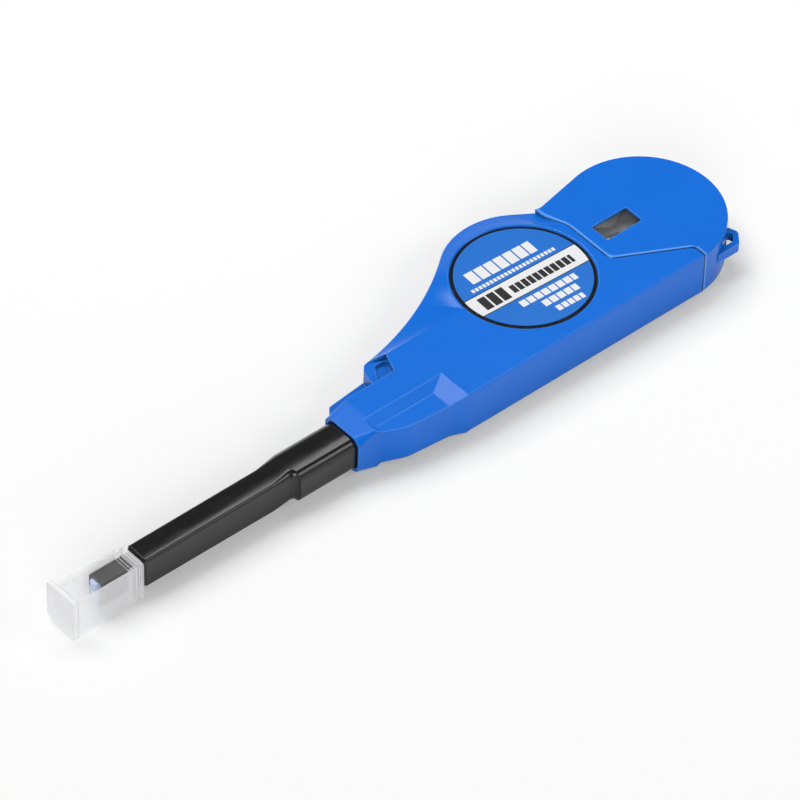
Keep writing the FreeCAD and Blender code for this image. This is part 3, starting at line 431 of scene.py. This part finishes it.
def new_material(name: str) -> tuple[Material, Graph, bpy.types.Node]:
    """Start a node material with one Principled shader.

    Args:
        name: Name of the material.

    Returns:
        The material, its graph and its Principled node.
    """
    material = bpy.data.materials.new(name)
    material.use_nodes = True
    return material, Graph(material.node_tree), material.node_tree.nodes["Principled BSDF"]


@dataclass(frozen=True)
class Finish(ABC):
    """Named finish that makes one material."""

    name: str

    def material(self, effects: Effects) -> Material:
        """Material of the finish, made when it is first used."""
        return bpy.data.materials.get(self.name) or self.build(effects)

    @abstractmethod
    def build(self, effects: Effects) -> Material:
        """Make the material.

        Args:
            effects: Shared shader groups.

        Returns:
            The finished material.
        """


@dataclass(frozen=True)
class SeamLine:
    """Painted line that follows the seam of the shells: painted shade in the seam's gap, or a painted highlight on
    the rim beside it.
    """

    corners_mm: tuple[Point, ...]
    tint: Colour
    full_mm: float
    soft_mm: float
    share: float = 1.0

    def paint(self, graph: Graph, effects: Effects, place: Socket, colour: Socket) -> Socket:
        """Mix the line's tint into a colour.

        Args:
            graph: Graph of the material.
            effects: Shared shader groups.
            place: Position in the piece's frame.
            colour: Colour without the line.

        Returns:
            Socket of the colour with the line.
        """
        mask = None
        for start, end in zip(self.corners_mm, self.corners_mm[1:]):
            run = graph.group(effects.segment, {
                "Place": place, "Start": tuple(value * MM for value in start),
                "End": tuple(value * MM for value in end), "Full Width": self.full_mm * MM,
                "Soft Width": self.soft_mm * MM}).outputs["Mask"]
            mask = run if mask is None else graph.math("MAXIMUM", mask, run)
        return graph.mix(graph.math("MULTIPLY", mask, self.share), colour, self.tint)


@dataclass(frozen=True)
class PartingLine:
    """Fine level groove where two mould halves meet: a real dip in the bump, with painted shade in it."""

    z_mm: float
    half_mm: float = 0.14
    share: float = 0.45
    shade: float = 0.35
    depth: float = 12.0

    def cut(self, graph: Graph, effects: Effects, place: Socket, ground: Colour, colour: Socket,
            height: Socket) -> tuple[Socket, Socket]:
        """Cut the groove into a height, and paint its shade into a colour.

        Args:
            graph: Graph of the material.
            effects: Shared shader groups.
            place: Position in the piece's frame.
            ground: Plain colour of the plastic.
            colour: Colour without the groove.
            height: Height without the groove.

        Returns:
            Sockets of the colour and the height with the groove.
        """
        groove = graph.group(effects.line, {"Value": graph.split(place)[2], "Middle": self.z_mm * MM,
                                            "Half Width": self.half_mm * MM}).outputs["Mask"]
        # Painted shade: the plastic is darkened along the groove.
        dark = graph.mix(graph.math("MULTIPLY", groove, self.share), colour, tinted(ground, self.shade))
        return dark, graph.math("SUBTRACT", height, graph.math("MULTIPLY", groove, self.depth))


@dataclass(frozen=True)
class Crown:
    """Slight crown across the broad faces of the barrel."""

    half_mm: float
    rise_mm: float

    def bend(self, graph: Graph, place: Socket, normal: Socket) -> Socket:
        """Bend a normal over the crown.

        Args:
            graph: Graph of the material.
            place: Position in the piece's frame.
            normal: Normal to start from.

        Returns:
            Socket of the crowned normal.
        """
        share = graph.math("DIVIDE", graph.split(place)[1], self.half_mm * MM)
        drop = graph.math("MULTIPLY", graph.math("MULTIPLY", share, share), -self.rise_mm * MM)
        return graph.bump(drop, 1.0, 1.0 / MM, normal)


@dataclass(frozen=True)
class MouldedPlastic(Finish):
    """Opaque moulded plastic: grain, slow colour mottle, handling marks and softened edges, with an optional
    painted highlight along the edges, painted seam lines and painted shade in a parting groove.
    """

    colour: Colour
    roughness: float = 0.4
    roughness_spread: float = 0.08
    specular: float = 0.5
    grain_mm: float = 0.2
    grain_depth_mm: float = 0.004
    grain_strength: float = 0.35
    mottle: float = 0.05
    marks: float = 0.06
    edge_mm: float = 0.2
    # Lighter tint of the painted edge highlight, and its share.
    edge_highlight_tint: Colour | None = None
    edge_highlight_share: float = 0.6
    parting: PartingLine | None = None
    seam: SeamLine | None = None
    crown: Crown | None = None
    spill: Colour | None = None

    def build(self, effects: Effects) -> Material:
        """Make the material.

        Args:
            effects: Shared shader groups.

        Returns:
            The finished material.
        """
        material, graph, shader = new_material(self.name)
        place = graph.place()
        skin = graph.group(effects.skin, {"Vector": place, "Grain Size": self.grain_mm}).outputs
        edge = graph.group(effects.edge, {"Radius": self.edge_mm * MM}).outputs
        height, normal = skin["Height"], edge["Normal"]
        colour = graph.mix(skin["Mottle"], tinted(self.colour, 1 - self.mottle),
                           tinted(self.colour, 1 + self.mottle))
        # The parting groove is a real dip in the bump with painted shade in it.
        if self.parting is not None:
            colour, height = self.parting.cut(graph, effects, place, self.colour, colour, height)
        # Painted highlight: a lighter tint along the rounded edges.
        if self.edge_highlight_tint is not None:
            colour = graph.mix(graph.math("MULTIPLY", edge["Mask"], self.edge_highlight_share), colour, self.edge_highlight_tint)
        # Painted seam line: painted shade in the gap, or a painted highlight on the rim.
        if self.seam is not None:
            colour = self.seam.paint(graph, effects, place, colour)
        if self.spill is not None:
            bounced = graph.add("ShaderNodeLightPath").outputs["Is Diffuse Ray"]
            colour = graph.mix(bounced, colour, self.spill)
        if self.crown is not None:
            normal = self.crown.bend(graph, place, normal)
        even = graph.scaled(skin["Mottle"], self.roughness * (1 - self.roughness_spread),
                            self.roughness * (1 + self.roughness_spread))
        rough = graph.math("ADD", even, graph.math("MULTIPLY", skin["Marks"], self.marks))
        graph.feed(shader.inputs["Base Color"], colour)
        graph.feed(shader.inputs["Roughness"], rough)
        shader.inputs["Specular IOR Level"].default_value = self.specular
        graph.feed(shader.inputs["Normal"], graph.bump(height, self.grain_strength, self.grain_depth_mm, normal))
        return material


class DashRow(NamedTuple):
    """Limits of one printed row, in millimetres along and across the band, and its dashes."""

    start: float
    end: float
    low: float
    high: float
    pitch: float
    fill: float

    def mask(self, graph: Graph, effects: Effects, along: Socket, across: Socket) -> Socket:
        """Place the row in a material.

        Args:
            graph: Graph of the label's material.
            effects: Shared shader groups.
            along: Coordinate along the band.
            across: Coordinate across the band.

        Returns:
            Socket of the row's mask.
        """
        return graph.group(effects.dashes, {
            "Along": along, "Across": across, "Start": self.start, "End": self.end, "Low": self.low,
            "High": self.high, "Pitch": self.pitch, "Fill": self.fill}).outputs["Mask"]


@dataclass(frozen=True)
class PrintedLabel(Finish):
    """Round label of plain print: a blue ground, a white band between thin lines and rows of dashes."""

    centre_mm: tuple[float, float]
    turn_deg: float
    ground: Colour
    paper: Colour = (0.86, 0.87, 0.88)
    ink: Colour = (0.012, 0.012, 0.015)
    band_mm: tuple[float, float] = (-5.45, 1.6)
    line_mm: float = 0.3
    soft_mm: float = 0.05
    light_rows: tuple[DashRow, ...] = (
        DashRow(-12.6, 9.6, 5.7, 10.2, 3.3, 0.86), DashRow(-14.8, 13.8, 3.0, 4.2, 1.25, 0.72),
        DashRow(-7.4, 11.6, -9.2, -6.9, 2.5, 0.84), DashRow(-2.4, 9.4, -12.6, -10.3, 2.5, 0.84),
        DashRow(-0.6, 8.6, -16.0, -14.0, 2.0, 0.8))
    dark_rows: tuple[DashRow, ...] = (
        DashRow(-15.8, -7.0, -4.4, 0.5, 3.0, 0.82), DashRow(-5.8, 15.2, -3.6, -0.6, 2.0, 0.8))
    roughness: tuple[float, float] = (0.28, 0.36)
    grain_mm: float = 0.5
    grain_depth_mm: float = 0.003
    grain_strength: float = 0.2

    def build(self, effects: Effects) -> Material:
        """Make the material.

        Args:
            effects: Shared shader groups.

        Returns:
            The finished material.
        """
        material, graph, shader = new_material(self.name)
        place = graph.place()
        turned = graph.add("ShaderNodeMapping", {
            "Vector": place, "Location": (self.centre_mm[0] * MM, self.centre_mm[1] * MM, 0.0),
            "Rotation": (0.0, 0.0, math.radians(self.turn_deg))}, vector_type="TEXTURE").outputs[0]
        along, across, _ = graph.split(graph.millimetres(turned))
        low, high = self.band_mm
        lines = graph.between(across, low - self.line_mm, high + self.line_mm, self.soft_mm)
        colour = graph.mix(lines, self.ground, self.ink)
        colour = graph.mix(graph.between(across, low, high, self.soft_mm), colour, self.paper)
        for rows, tint in ((self.light_rows, self.paper), (self.dark_rows, self.ink)):
            for row in rows:
                colour = graph.mix(row.mask(graph, effects, along, across), colour, tint)
        skin = graph.group(effects.skin, {"Vector": place, "Grain Size": self.grain_mm}).outputs
        graph.feed(shader.inputs["Base Color"], colour)
        graph.feed(shader.inputs["Roughness"], graph.scaled(skin["Mottle"], *self.roughness))
        graph.feed(shader.inputs["Normal"], graph.bump(skin["Height"], self.grain_strength, self.grain_depth_mm))
        return material


@dataclass(frozen=True)
class PolishedTop:
    """Top wall and cross faces of a frosted piece, polished so that one sees through them."""

    haze: float
    above_mm: float
    before_mm: float
    front_mm: tuple[float, float]
    front_haze: float = 0.16
    facing: float = 0.9

    def clear(self, graph: Graph, place: Socket, haze: Socket) -> Socket:
        """Lower the haze of the polished faces.

        Args:
            graph: Graph of the material.
            place: Position in the piece's frame.
            haze: Haze of the other faces.

        Returns:
            Socket of the haze.
        """
        along, _, upright = graph.split(place)
        normal_x, _, normal_z = graph.split(graph.add("ShaderNodeNewGeometry").outputs["Normal"])
        level = graph.math("GREATER_THAN", graph.math("ABSOLUTE", normal_z), self.facing)
        cross = graph.math("GREATER_THAN", graph.math("ABSOLUTE", normal_x), self.facing)
        high = graph.math("GREATER_THAN", upright, self.above_mm * MM)
        before = graph.math("LESS_THAN", along, self.before_mm * MM)
        faces = graph.math("MAXIMUM", graph.math("MULTIPLY", level, high), cross)
        front, back = self.front_mm
        polished = graph.ramp(along, front * MM, back * MM, self.front_haze, self.haze, smooth=True)
        blend = graph.add("ShaderNodeMix", data_type="FLOAT")
        graph.feed(blend.inputs[0], graph.math("MULTIPLY", faces, before))
        graph.feed(blend.inputs[2], haze)
        graph.feed(blend.inputs[3], polished)
        return blend.outputs[0]


@dataclass(frozen=True)
class HazyPlastic(Finish):
    """Clear or frosted plastic: each face hides what is behind it as far as its haze says, and its edges carry a
    painted white highlight.
    """

    colour: Colour
    haze: float
    haze_spread: float = 0.04
    roughness: float = 0.3
    roughness_spread: float = 0.1
    cool: float = 0.97
    grain_mm: float = 0.3
    grain_depth_mm: float = 0.004
    grain_strength: float = 0.2
    mottle_mm: float = 5.0
    edge_mm: float = 0.4
    # How solid the painted edge highlight is, and its colour.
    edge_highlight_haze: float = 0.9
    edge_highlight_colour: Colour = (1.0, 1.0, 1.0)
    light_through: float = 0.6
    polished: PolishedTop | None = None

    def build(self, effects: Effects) -> Material:
        """Make the material.

        Args:
            effects: Shared shader groups.

        Returns:
            The finished material.
        """
        material, graph, shader = new_material(self.name)
        place = graph.place()
        skin = graph.group(effects.skin, {"Vector": place, "Grain Size": self.grain_mm,
                                          "Mottle Size": self.mottle_mm}).outputs
        edge = graph.group(effects.edge, {"Radius": self.edge_mm * MM}).outputs
        colour = graph.mix(skin["Mottle"], tinted(self.colour, self.cool), self.colour)
        haze = graph.scaled(skin["Mottle"], self.haze * (1 - self.haze_spread),
                            min(self.haze * (1 + self.haze_spread), 1.0))
        if self.polished is not None:
            haze = self.polished.clear(graph, place, haze)
        # Painted highlight: the edges turn more solid and white.
        solid = graph.math("MAXIMUM", haze, graph.math("MULTIPLY", edge["Mask"], self.edge_highlight_haze))
        shadow = graph.add("ShaderNodeLightPath").outputs["Is Shadow Ray"]
        light = graph.scaled(shadow, 1.0, 1.0 - self.light_through)
        rough = graph.scaled(skin["Mottle"], self.roughness * (1 - self.roughness_spread),
                             self.roughness * (1 + self.roughness_spread))
        graph.feed(shader.inputs["Base Color"], graph.mix(edge["Mask"], colour, self.edge_highlight_colour))
        graph.feed(shader.inputs["Alpha"], graph.math("MULTIPLY", solid, light))
        graph.feed(shader.inputs["Roughness"], rough)
        graph.feed(shader.inputs["Normal"], graph.bump(skin["Height"], self.grain_strength, self.grain_depth_mm,
                                                       edge["Normal"]))
        return material


@dataclass(frozen=True)
class CleaningTape(Finish):
    """Woven microfibre tape, seen flat or as the turns of a wound roll."""

    colour: Colour
    centre_mm: tuple[float, float] | None = None
    turn_mm: float = 0.35
    weave_scale: float = 1.6
    weave_waver: float = 0.6
    weave_detail: float = 2.0
    hollow_shade: float = 0.72
    roughness: float = 0.85
    sheen: float = 0.2
    thread_mm: float = 0.03
    thread_strength: float = 0.5

    def build(self, effects: Effects) -> Material:
        """Make the material.

        Args:
            effects: Shared shader groups.

        Returns:
            The finished material.
        """
        material, graph, shader = new_material(self.name)
        place = graph.millimetres(graph.place())
        threads = self.weave(graph, place) if self.centre_mm is None else self.turns(graph, place)
        colour = graph.mix(threads, tinted(self.colour, self.hollow_shade), self.colour)
        graph.feed(shader.inputs["Base Color"], colour)
        shader.inputs["Roughness"].default_value = self.roughness
        shader.inputs["Sheen Weight"].default_value = self.sheen
        graph.feed(shader.inputs["Normal"], graph.bump(threads, self.thread_strength, self.thread_mm))
        return material

    def weave(self, graph: Graph, place: Socket) -> Socket:
        """Diagonal threads of the flat tape.

        Args:
            graph: Graph of the material.
            place: Position in millimetres.

        Returns:
            Socket of the threads, from 0 to 1.
        """
        return graph.add("ShaderNodeTexWave", {
            "Vector": place, "Scale": self.weave_scale, "Distortion": self.weave_waver,
            "Detail": self.weave_detail}, bands_direction="DIAGONAL").outputs["Fac"]

    def turns(self, graph: Graph, place: Socket) -> Socket:
        """Turns of the wound roll round its centre.

        Args:
            graph: Graph of the material.
            place: Position in millimetres.

        Returns:
            Socket of the turns, from 0 to 1.
        """
        along, across, _ = graph.split(place)
        off_x = graph.math("SUBTRACT", along, self.centre_mm[0])
        off_y = graph.math("SUBTRACT", across, self.centre_mm[1])
        radius = graph.math("SQRT", graph.math("ADD", graph.math("MULTIPLY", off_x, off_x),
                                               graph.math("MULTIPLY", off_y, off_y)))
        wave = graph.math("SINE", graph.math("MULTIPLY", radius, 2 * math.pi / self.turn_mm))
        return graph.math("MULTIPLY_ADD", wave, 0.5, 0.5)


@dataclass(frozen=True)
class DrawnSteel(Finish):
    """Drawn spring wire."""

    colour: Colour = (0.55, 0.55, 0.56)
    shade: float = 0.8
    grain_mm: float = 0.1
    roughness: tuple[float, float] = (0.25, 0.4)

    def build(self, effects: Effects) -> Material:
        """Make the material.

        Args:
            effects: Shared shader groups.

        Returns:
            The finished material.
        """
        material, graph, shader = new_material(self.name)
        skin = graph.group(effects.skin, {"Vector": graph.place(), "Grain Size": self.grain_mm}).outputs
        colour = graph.mix(skin["Mottle"], tinted(self.colour, self.shade), self.colour)
        graph.feed(shader.inputs["Base Color"], colour)
        shader.inputs["Metallic"].default_value = 1.0
        graph.feed(shader.inputs["Roughness"], graph.scaled(skin["Marks"], *self.roughness))
        return material


# ---------------------------------------------------------------- sub-assemblies

@dataclass
class SubAssembly:
    """A group of CAD nodes that get their finishes together."""

    effects: Effects
    finishes: dict[str, Finish] = field(default_factory=dict)

    def make(self) -> None:
        """Make what the group shows."""
        self.dress()

    def dress(self) -> None:
        """Give each CAD node of the group its finish."""
        for node, finish in self.finishes.items():
            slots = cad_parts[node].data.materials
            slots.clear()
            slots.append(finish.material(self.effects))
            LOG.info("%s: %s dressed as %s", type(self).__name__, node, finish.name)


@dataclass
class Housing(SubAssembly):
    """Blue shells, window pane, black cover and round label."""

    blue: Colour = (0.002, 0.162, 0.74)
    # Lighter blue of the painted highlights on the edges and the seam rim, and darker blue of the painted shade in
    # the seam's gap.
    edge_highlight_blue: Colour = (0.12, 0.4, 1.0)
    seam_shade_blue: Colour = (0.0, 0.03, 0.2)
    label_blue: Colour = (0.002, 0.165, 0.66)
    label_turn_deg: float = -2.5
    spill: Colour = (0.16, 0.19, 0.28)
    seam_mm: tuple[tuple[float, float], ...] = (
        (20.1, 31.0), (20.1, 27.9), (20.4, 26.5), (22.4, 21.0), (22.75, 19.0), (22.6, 4.4), (23.5, 2.7),
        (42.3, -7.5), (43.3, -9.0), (43.3, -12.3))

    def __post_init__(self) -> None:
        """Choose the finish of each node."""
        parting, top = (corner.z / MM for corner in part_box("rear_shell_upper"))
        path = tuple((x, y, top) for x, y in self.seam_mm) + ((*self.seam_mm[-1], 0.0),)
        # Painted shade along the seam's gap on the front shell, and a painted highlight along the rear shell's rim
        # at the seam.
        groove = SeamLine(path, self.seam_shade_blue, full_mm=0.25, soft_mm=0.5)
        seam_rim_highlight = SeamLine(path, self.edge_highlight_blue, full_mm=0.55, soft_mm=0.85, share=0.85)
        # The shells' edges get a painted highlight in a lighter blue.
        shell = MouldedPlastic("satin_blue_shell", self.blue, roughness=0.25, specular=0.3, marks=0.0, edge_mm=0.4,
                               edge_highlight_tint=self.edge_highlight_blue, seam=groove, spill=self.spill)
        rear = replace(shell, name="satin_blue_rear_shell", seam=seam_rim_highlight, parting=PartingLine(parting))
        low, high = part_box("round_label")
        centre = (low + high) / 2
        self.finishes = {
            "front_shell": shell, "rear_shell_upper": rear, "rear_shell_lower": rear,
            "window_pane": HazyPlastic("window_clear", (0.7, 0.73, 0.78), haze=0.05, roughness=0.06,
                                       edge_mm=0.35, edge_highlight_haze=0.6, light_through=0.9),
            "reel_cover": MouldedPlastic("cover_gloss_black", (0.008, 0.008, 0.01), roughness=0.12, marks=0.1,
                                         grain_depth_mm=0.001, edge_mm=0.1),
            "round_label": PrintedLabel("label_print", (centre.x / MM, centre.y / MM), self.label_turn_deg,
                                        self.label_blue),
        }


@dataclass(frozen=True)
class WoundSpring:
    """Compression spring of round wire, wound in the room of its CAD node."""

    node: str
    body: Body
    joint: str
    travel_mm: float
    wire_mm: float
    turns: float
    flat_turns: float = 1.0
    steps: int = 28
    sides: int = 10

    def build(self, finish: Finish, effects: Effects) -> bpy.types.Object:
        """Make the spring in the room of its CAD node.

        Args:
            finish: Finish of the wire.
            effects: Shared shader groups.

        Returns:
            The spring's object.
        """
        low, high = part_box(self.node)
        spring = bpy.data.objects.new(f"{self.node}_wound", self.mesh(low, high))
        bpy.context.scene.collection.objects.link(spring)
        spring.data.materials.append(finish.material(effects))
        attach(spring, self.body.value)
        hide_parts(self.node)
        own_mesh(spring)
        return spring

    def mesh(self, low: Vector, high: Vector) -> bpy.types.Mesh:
        """Sweep the wire's circle along the coil, with closed end turns.

        Args:
            low: Lowest corner of the spring's room.
            high: Highest corner of the spring's room.

        Returns:
            The wire's mesh.
        """
        wire = self.wire_mm * MM / 2
        middle = (low + high) / 2
        radius = (high.y - low.y) / 2 - wire
        reach = high.x - low.x - 2 * wire
        flat = 2 * wire * self.flat_turns / reach
        along = Vector((1.0, 0.0, 0.0))
        around = [2 * math.pi * side / self.sides for side in range(self.sides)]
        build = bmesh.new()
        rings = []
        for step in range(int(self.turns * self.steps) + 1):
            turn = step / self.steps
            angle = 2 * math.pi * turn
            outward = Vector((0.0, math.cos(angle), math.sin(angle)))
            centre = Vector((low.x + wire + reach * self.rise(turn, flat), middle.y, middle.z)) + radius * outward
            rings.append([build.verts.new(centre + wire * (math.cos(bend) * outward + math.sin(bend) * along))
                          for bend in around])
        for first, second in zip(rings, rings[1:]):
            for side in range(self.sides):
                after = (side + 1) % self.sides
                build.faces.new((first[side], first[after], second[after], second[side])).smooth = True
        build.faces.new(reversed(rings[0]))
        build.faces.new(rings[-1])
        bmesh.ops.recalc_face_normals(build, faces=build.faces)
        mesh = bpy.data.meshes.new(f"{self.node}_wound")
        build.to_mesh(mesh)
        build.free()
        return mesh

    def rise(self, turn: float, flat: float) -> float:
        """Share of the spring's length at a turn: the end turns lie nearly flat.

        Args:
            turn: Turns from the first end.
            flat: Share of the length that the flat turns of one end take.

        Returns:
            Share from 0 to 1.
        """
        if turn < self.flat_turns:
            return flat * turn / self.flat_turns
        if turn > self.turns - self.flat_turns:
            return 1.0 - flat * (self.turns - turn) / self.flat_turns
        return flat + (1.0 - 2 * flat) * (turn - self.flat_turns) / (self.turns - 2 * self.flat_turns)


@dataclass
class Barrel(SubAssembly):
    """Glossy black barrel with the slider behind it and the springs."""

    black: Colour = (0.009, 0.009, 0.0095)
    crown: Crown = Crown(half_mm=3.9, rise_mm=0.27)
    springs: tuple[WoundSpring, ...] = (
        WoundSpring("return_spring", Body.HOUSING, "barrel_slide", travel_mm=12.0, wire_mm=0.8, turns=10.0),
        WoundSpring("tip_spring", Body.BARREL, "tip_press", travel_mm=1.5, wire_mm=0.3, turns=8.0))

    def __post_init__(self) -> None:
        """Choose the finish of each node."""
        self.finishes = {
            "barrel": MouldedPlastic("barrel_gloss_black", self.black, roughness=0.14, marks=0.05,
                                     grain_depth_mm=0.0012, crown=self.crown),
            "drive_slider": MouldedPlastic("slider_grey", (0.2, 0.2, 0.21), roughness=0.42),
        }

    def make(self) -> None:
        """Dress the barrel and the slider, and wind the springs."""
        self.dress()
        steel = DrawnSteel("spring_wire")
        for spring in self.springs:
            piece = spring.build(steel, self.effects)
            LOG.info("Barrel: %s wound with %g turns", piece.name, spring.turns)


@dataclass
class CleaningTip(SubAssembly):
    """Dark square tip with its light blue head and the tape round it."""

    def __post_init__(self) -> None:
        """Choose the finish of each node."""
        self.finishes = {
            "inner_tip": MouldedPlastic("tip_black", (0.014, 0.014, 0.015), roughness=0.3, edge_mm=0.3,
                                        grain_depth_mm=0.001),
            "cleaning_head": MouldedPlastic("head_light_blue", (0.48, 0.58, 0.88)),
            "tape_loop": CleaningTape("tape_weave", (0.72, 0.78, 0.86)),
        }


@dataclass
class GuideCap(SubAssembly):
    """Frosted guide cap with its polished top wall, and its front lid."""

    top_share: float = 0.65
    collar_mm: float = 1.0
    front_mm: tuple[float, float] = (1.0, 10.0)

    def __post_init__(self) -> None:
        """Choose the finish of each node."""
        low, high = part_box("guide_cap")
        top = PolishedTop(haze=0.03, above_mm=(low.z + self.top_share * (high.z - low.z)) / MM,
                          before_mm=high.x / MM - self.collar_mm,
                          front_mm=tuple(low.x / MM + reach for reach in self.front_mm))
        self.finishes = {
            "guide_cap": HazyPlastic("cap_frosted", (0.97, 0.97, 0.985), haze=0.42, polished=top),
            "cap_lid": HazyPlastic("lid_frosted", (0.98, 0.98, 0.99), haze=0.7),
        }


@dataclass
class TapeDrive(SubAssembly):
    """Reels, wound tape, pinion, pawl and the plate that carries them."""

    def __post_init__(self) -> None:
        """Choose the finish of each node."""
        white = MouldedPlastic("acetal_white", (0.72, 0.72, 0.7))
        run = CleaningTape("tape_run_weave", (0.72, 0.74, 0.76))
        self.finishes = {
            "take_up_reel": MouldedPlastic("reel_grey", (0.3, 0.31, 0.34), roughness=0.35),
            "supply_reel": MouldedPlastic("supply_reel_dark", (0.2, 0.205, 0.22), roughness=0.3),
            "drive_pinion": white, "stop_pawl": white,
            "mechanism_plate": MouldedPlastic("plate_black", (0.02, 0.02, 0.022), roughness=0.45),
            "tape_feed_run": run, "tape_return_run": run,
            "take_up_tape": CleaningTape("used_roll", (0.5, 0.5, 0.5), self.middle("take_up_tape")),
            "supply_tape": CleaningTape("fresh_roll", (0.9, 0.9, 0.92), self.middle("supply_tape")),
        }

    @staticmethod
    def middle(node: str) -> tuple[float, float]:
        """Centre of a roll in plan, in millimetres."""
        low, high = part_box(node)
        return ((low.x + high.x) / 2 / MM, (low.y + high.y) / 2 / MM)


# ---------------------------------------------------------------- studio

@dataclass(frozen=True)
class SoftLamp:
    """Square soft box aimed at a point."""

    name: str
    place: Point
    side: float
    power: float
    aim: Point = (-0.05, 0.0, 0.0)

    def build(self) -> None:
        """Make the lamp."""
        data = bpy.data.lights.new(self.name, "AREA")
        data.shape = "SQUARE"
        data.size = self.side
        data.energy = self.power
        lamp = bpy.data.objects.new(self.name, data)
        bpy.context.scene.collection.objects.link(lamp)
        lamp.location = self.place
        lamp.rotation_euler = (Vector(self.aim) - Vector(self.place)).to_track_quat("-Z", "Y").to_euler()
        LOG.info("Studio: lamp %s", self.name)


@dataclass(frozen=True)
class Studio:
    """Pale floor, soft light and the camera."""

    aim_mm: Point = (-47.0, 8.27, 0.0)
    distance_mm: float = 1652.0
    elevation_deg: float = 44.47
    heading: tuple[float, float] = (0.667, 0.745)
    roll_deg: float = -1.56
    lens_mm: float = 280.4
    sensor_mm: float = 36.0
    far_end: float = 20.0
    floor_side: float = 12.0
    floor_gap: float = 0.0002
    floor_colour: Colour = (0.8, 0.8, 0.8)
    floor_roughness: float = 0.9
    floor_specular: float = 0.1
    floor_lift: float = 0.2
    horizon: float = 0.7
    dome: float = 0.12
    horizon_band: tuple[float, float] = (0.1, 0.4)
    lamps: tuple[SoftLamp, ...] = (
        SoftLamp("key_box", (-0.15, 0.85, 1.4), side=0.95, power=15.5),
        SoftLamp("top_box", (0.33, 0.2, 0.85), side=0.38, power=1.9),
        SoftLamp("near_box", (0.57, -0.78, 0.71), side=0.5, power=2.4),
        SoftLamp("fill_box", (-0.85, -0.9, 0.5), side=0.6, power=5.0),
    )

    def build(self) -> None:
        """Set up the floor, the lamps, the world and the camera."""
        self.floor()
        self.world()
        for lamp in self.lamps:
            lamp.build()
        self.camera()
        bpy.context.scene.view_settings.view_transform = "Standard"

    def floor(self) -> None:
        """Make the pale floor, which stays white away from the shadow."""
        half = self.floor_side / 2
        mesh = bpy.data.meshes.new("floor")
        corners = [(-half, -half, 0), (half, -half, 0), (half, half, 0), (-half, half, 0)]
        mesh.from_pydata(corners, [], [(0, 1, 2, 3)])
        floor = bpy.data.objects.new("floor", mesh)
        bpy.context.scene.collection.objects.link(floor)
        floor.location.z = -self.floor_gap
        material, graph, shader = new_material("floor_paper")
        shader.inputs["Base Color"].default_value = (*self.floor_colour, 1.0)
        shader.inputs["Roughness"].default_value = self.floor_roughness
        shader.inputs["Specular IOR Level"].default_value = self.floor_specular
        shader.inputs["Emission Color"].default_value = (1.0, 1.0, 1.0, 1.0)
        rays = graph.add("ShaderNodeLightPath").outputs
        seen = graph.math("MAXIMUM", rays["Is Camera Ray"],
                          graph.math("MAXIMUM", rays["Is Glossy Ray"], rays["Is Transmission Ray"]))
        graph.feed(shader.inputs["Emission Strength"], graph.math("MULTIPLY", seen, self.floor_lift))
        mesh.materials.append(material)

    def world(self) -> None:
        """Make the surrounding light, brighter near the horizon and shown as white."""
        world = bpy.data.worlds.new("studio_world")
        world.use_nodes = True
        bpy.context.scene.world = world
        graph = Graph(world.node_tree)
        background = world.node_tree.nodes["Background"]
        background.inputs["Color"].default_value = (1.0, 1.0, 1.0, 1.0)
        height = graph.split(graph.add("ShaderNodeTexCoord").outputs["Generated"])[2]
        light = graph.ramp(height, *self.horizon_band, self.horizon, self.dome, smooth=True)
        seen = graph.add("ShaderNodeLightPath").outputs["Is Camera Ray"]
        graph.feed(background.inputs["Strength"], graph.math("MAXIMUM", light, seen))

    def camera(self) -> None:
        """Place the camera at its viewing angle."""
        tilt = math.radians(self.elevation_deg)
        plan = Vector(self.heading).normalized() * math.cos(tilt)
        forward = Vector((plan.x, plan.y, -math.sin(tilt)))
        right = forward.cross(Vector((0, 0, 1))).normalized()
        turn = Matrix.Rotation(math.radians(self.roll_deg), 3, forward)
        axes = Matrix((turn @ right, turn @ right.cross(forward), -forward)).transposed().to_4x4()
        data = bpy.data.cameras.new("camera")
        data.lens = self.lens_mm
        data.sensor_width = self.sensor_mm
        data.clip_end = self.far_end
        camera = bpy.data.objects.new("camera", data)
        bpy.context.scene.collection.objects.link(camera)
        camera.matrix_world = Matrix.Translation(Vector(self.aim_mm) * MM - forward * self.distance_mm * MM) @ axes
        bpy.context.scene.camera = camera


def main() -> None:
    """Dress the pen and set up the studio."""
    logging.basicConfig(level=logging.INFO, format="%(message)s")
    effects = Effects.build()
    for assembly in (Housing, Barrel, CleaningTip, GuideCap, TapeDrive):
        assembly(effects).make()
    Studio().build()


if __name__ == "__main__":
    main()
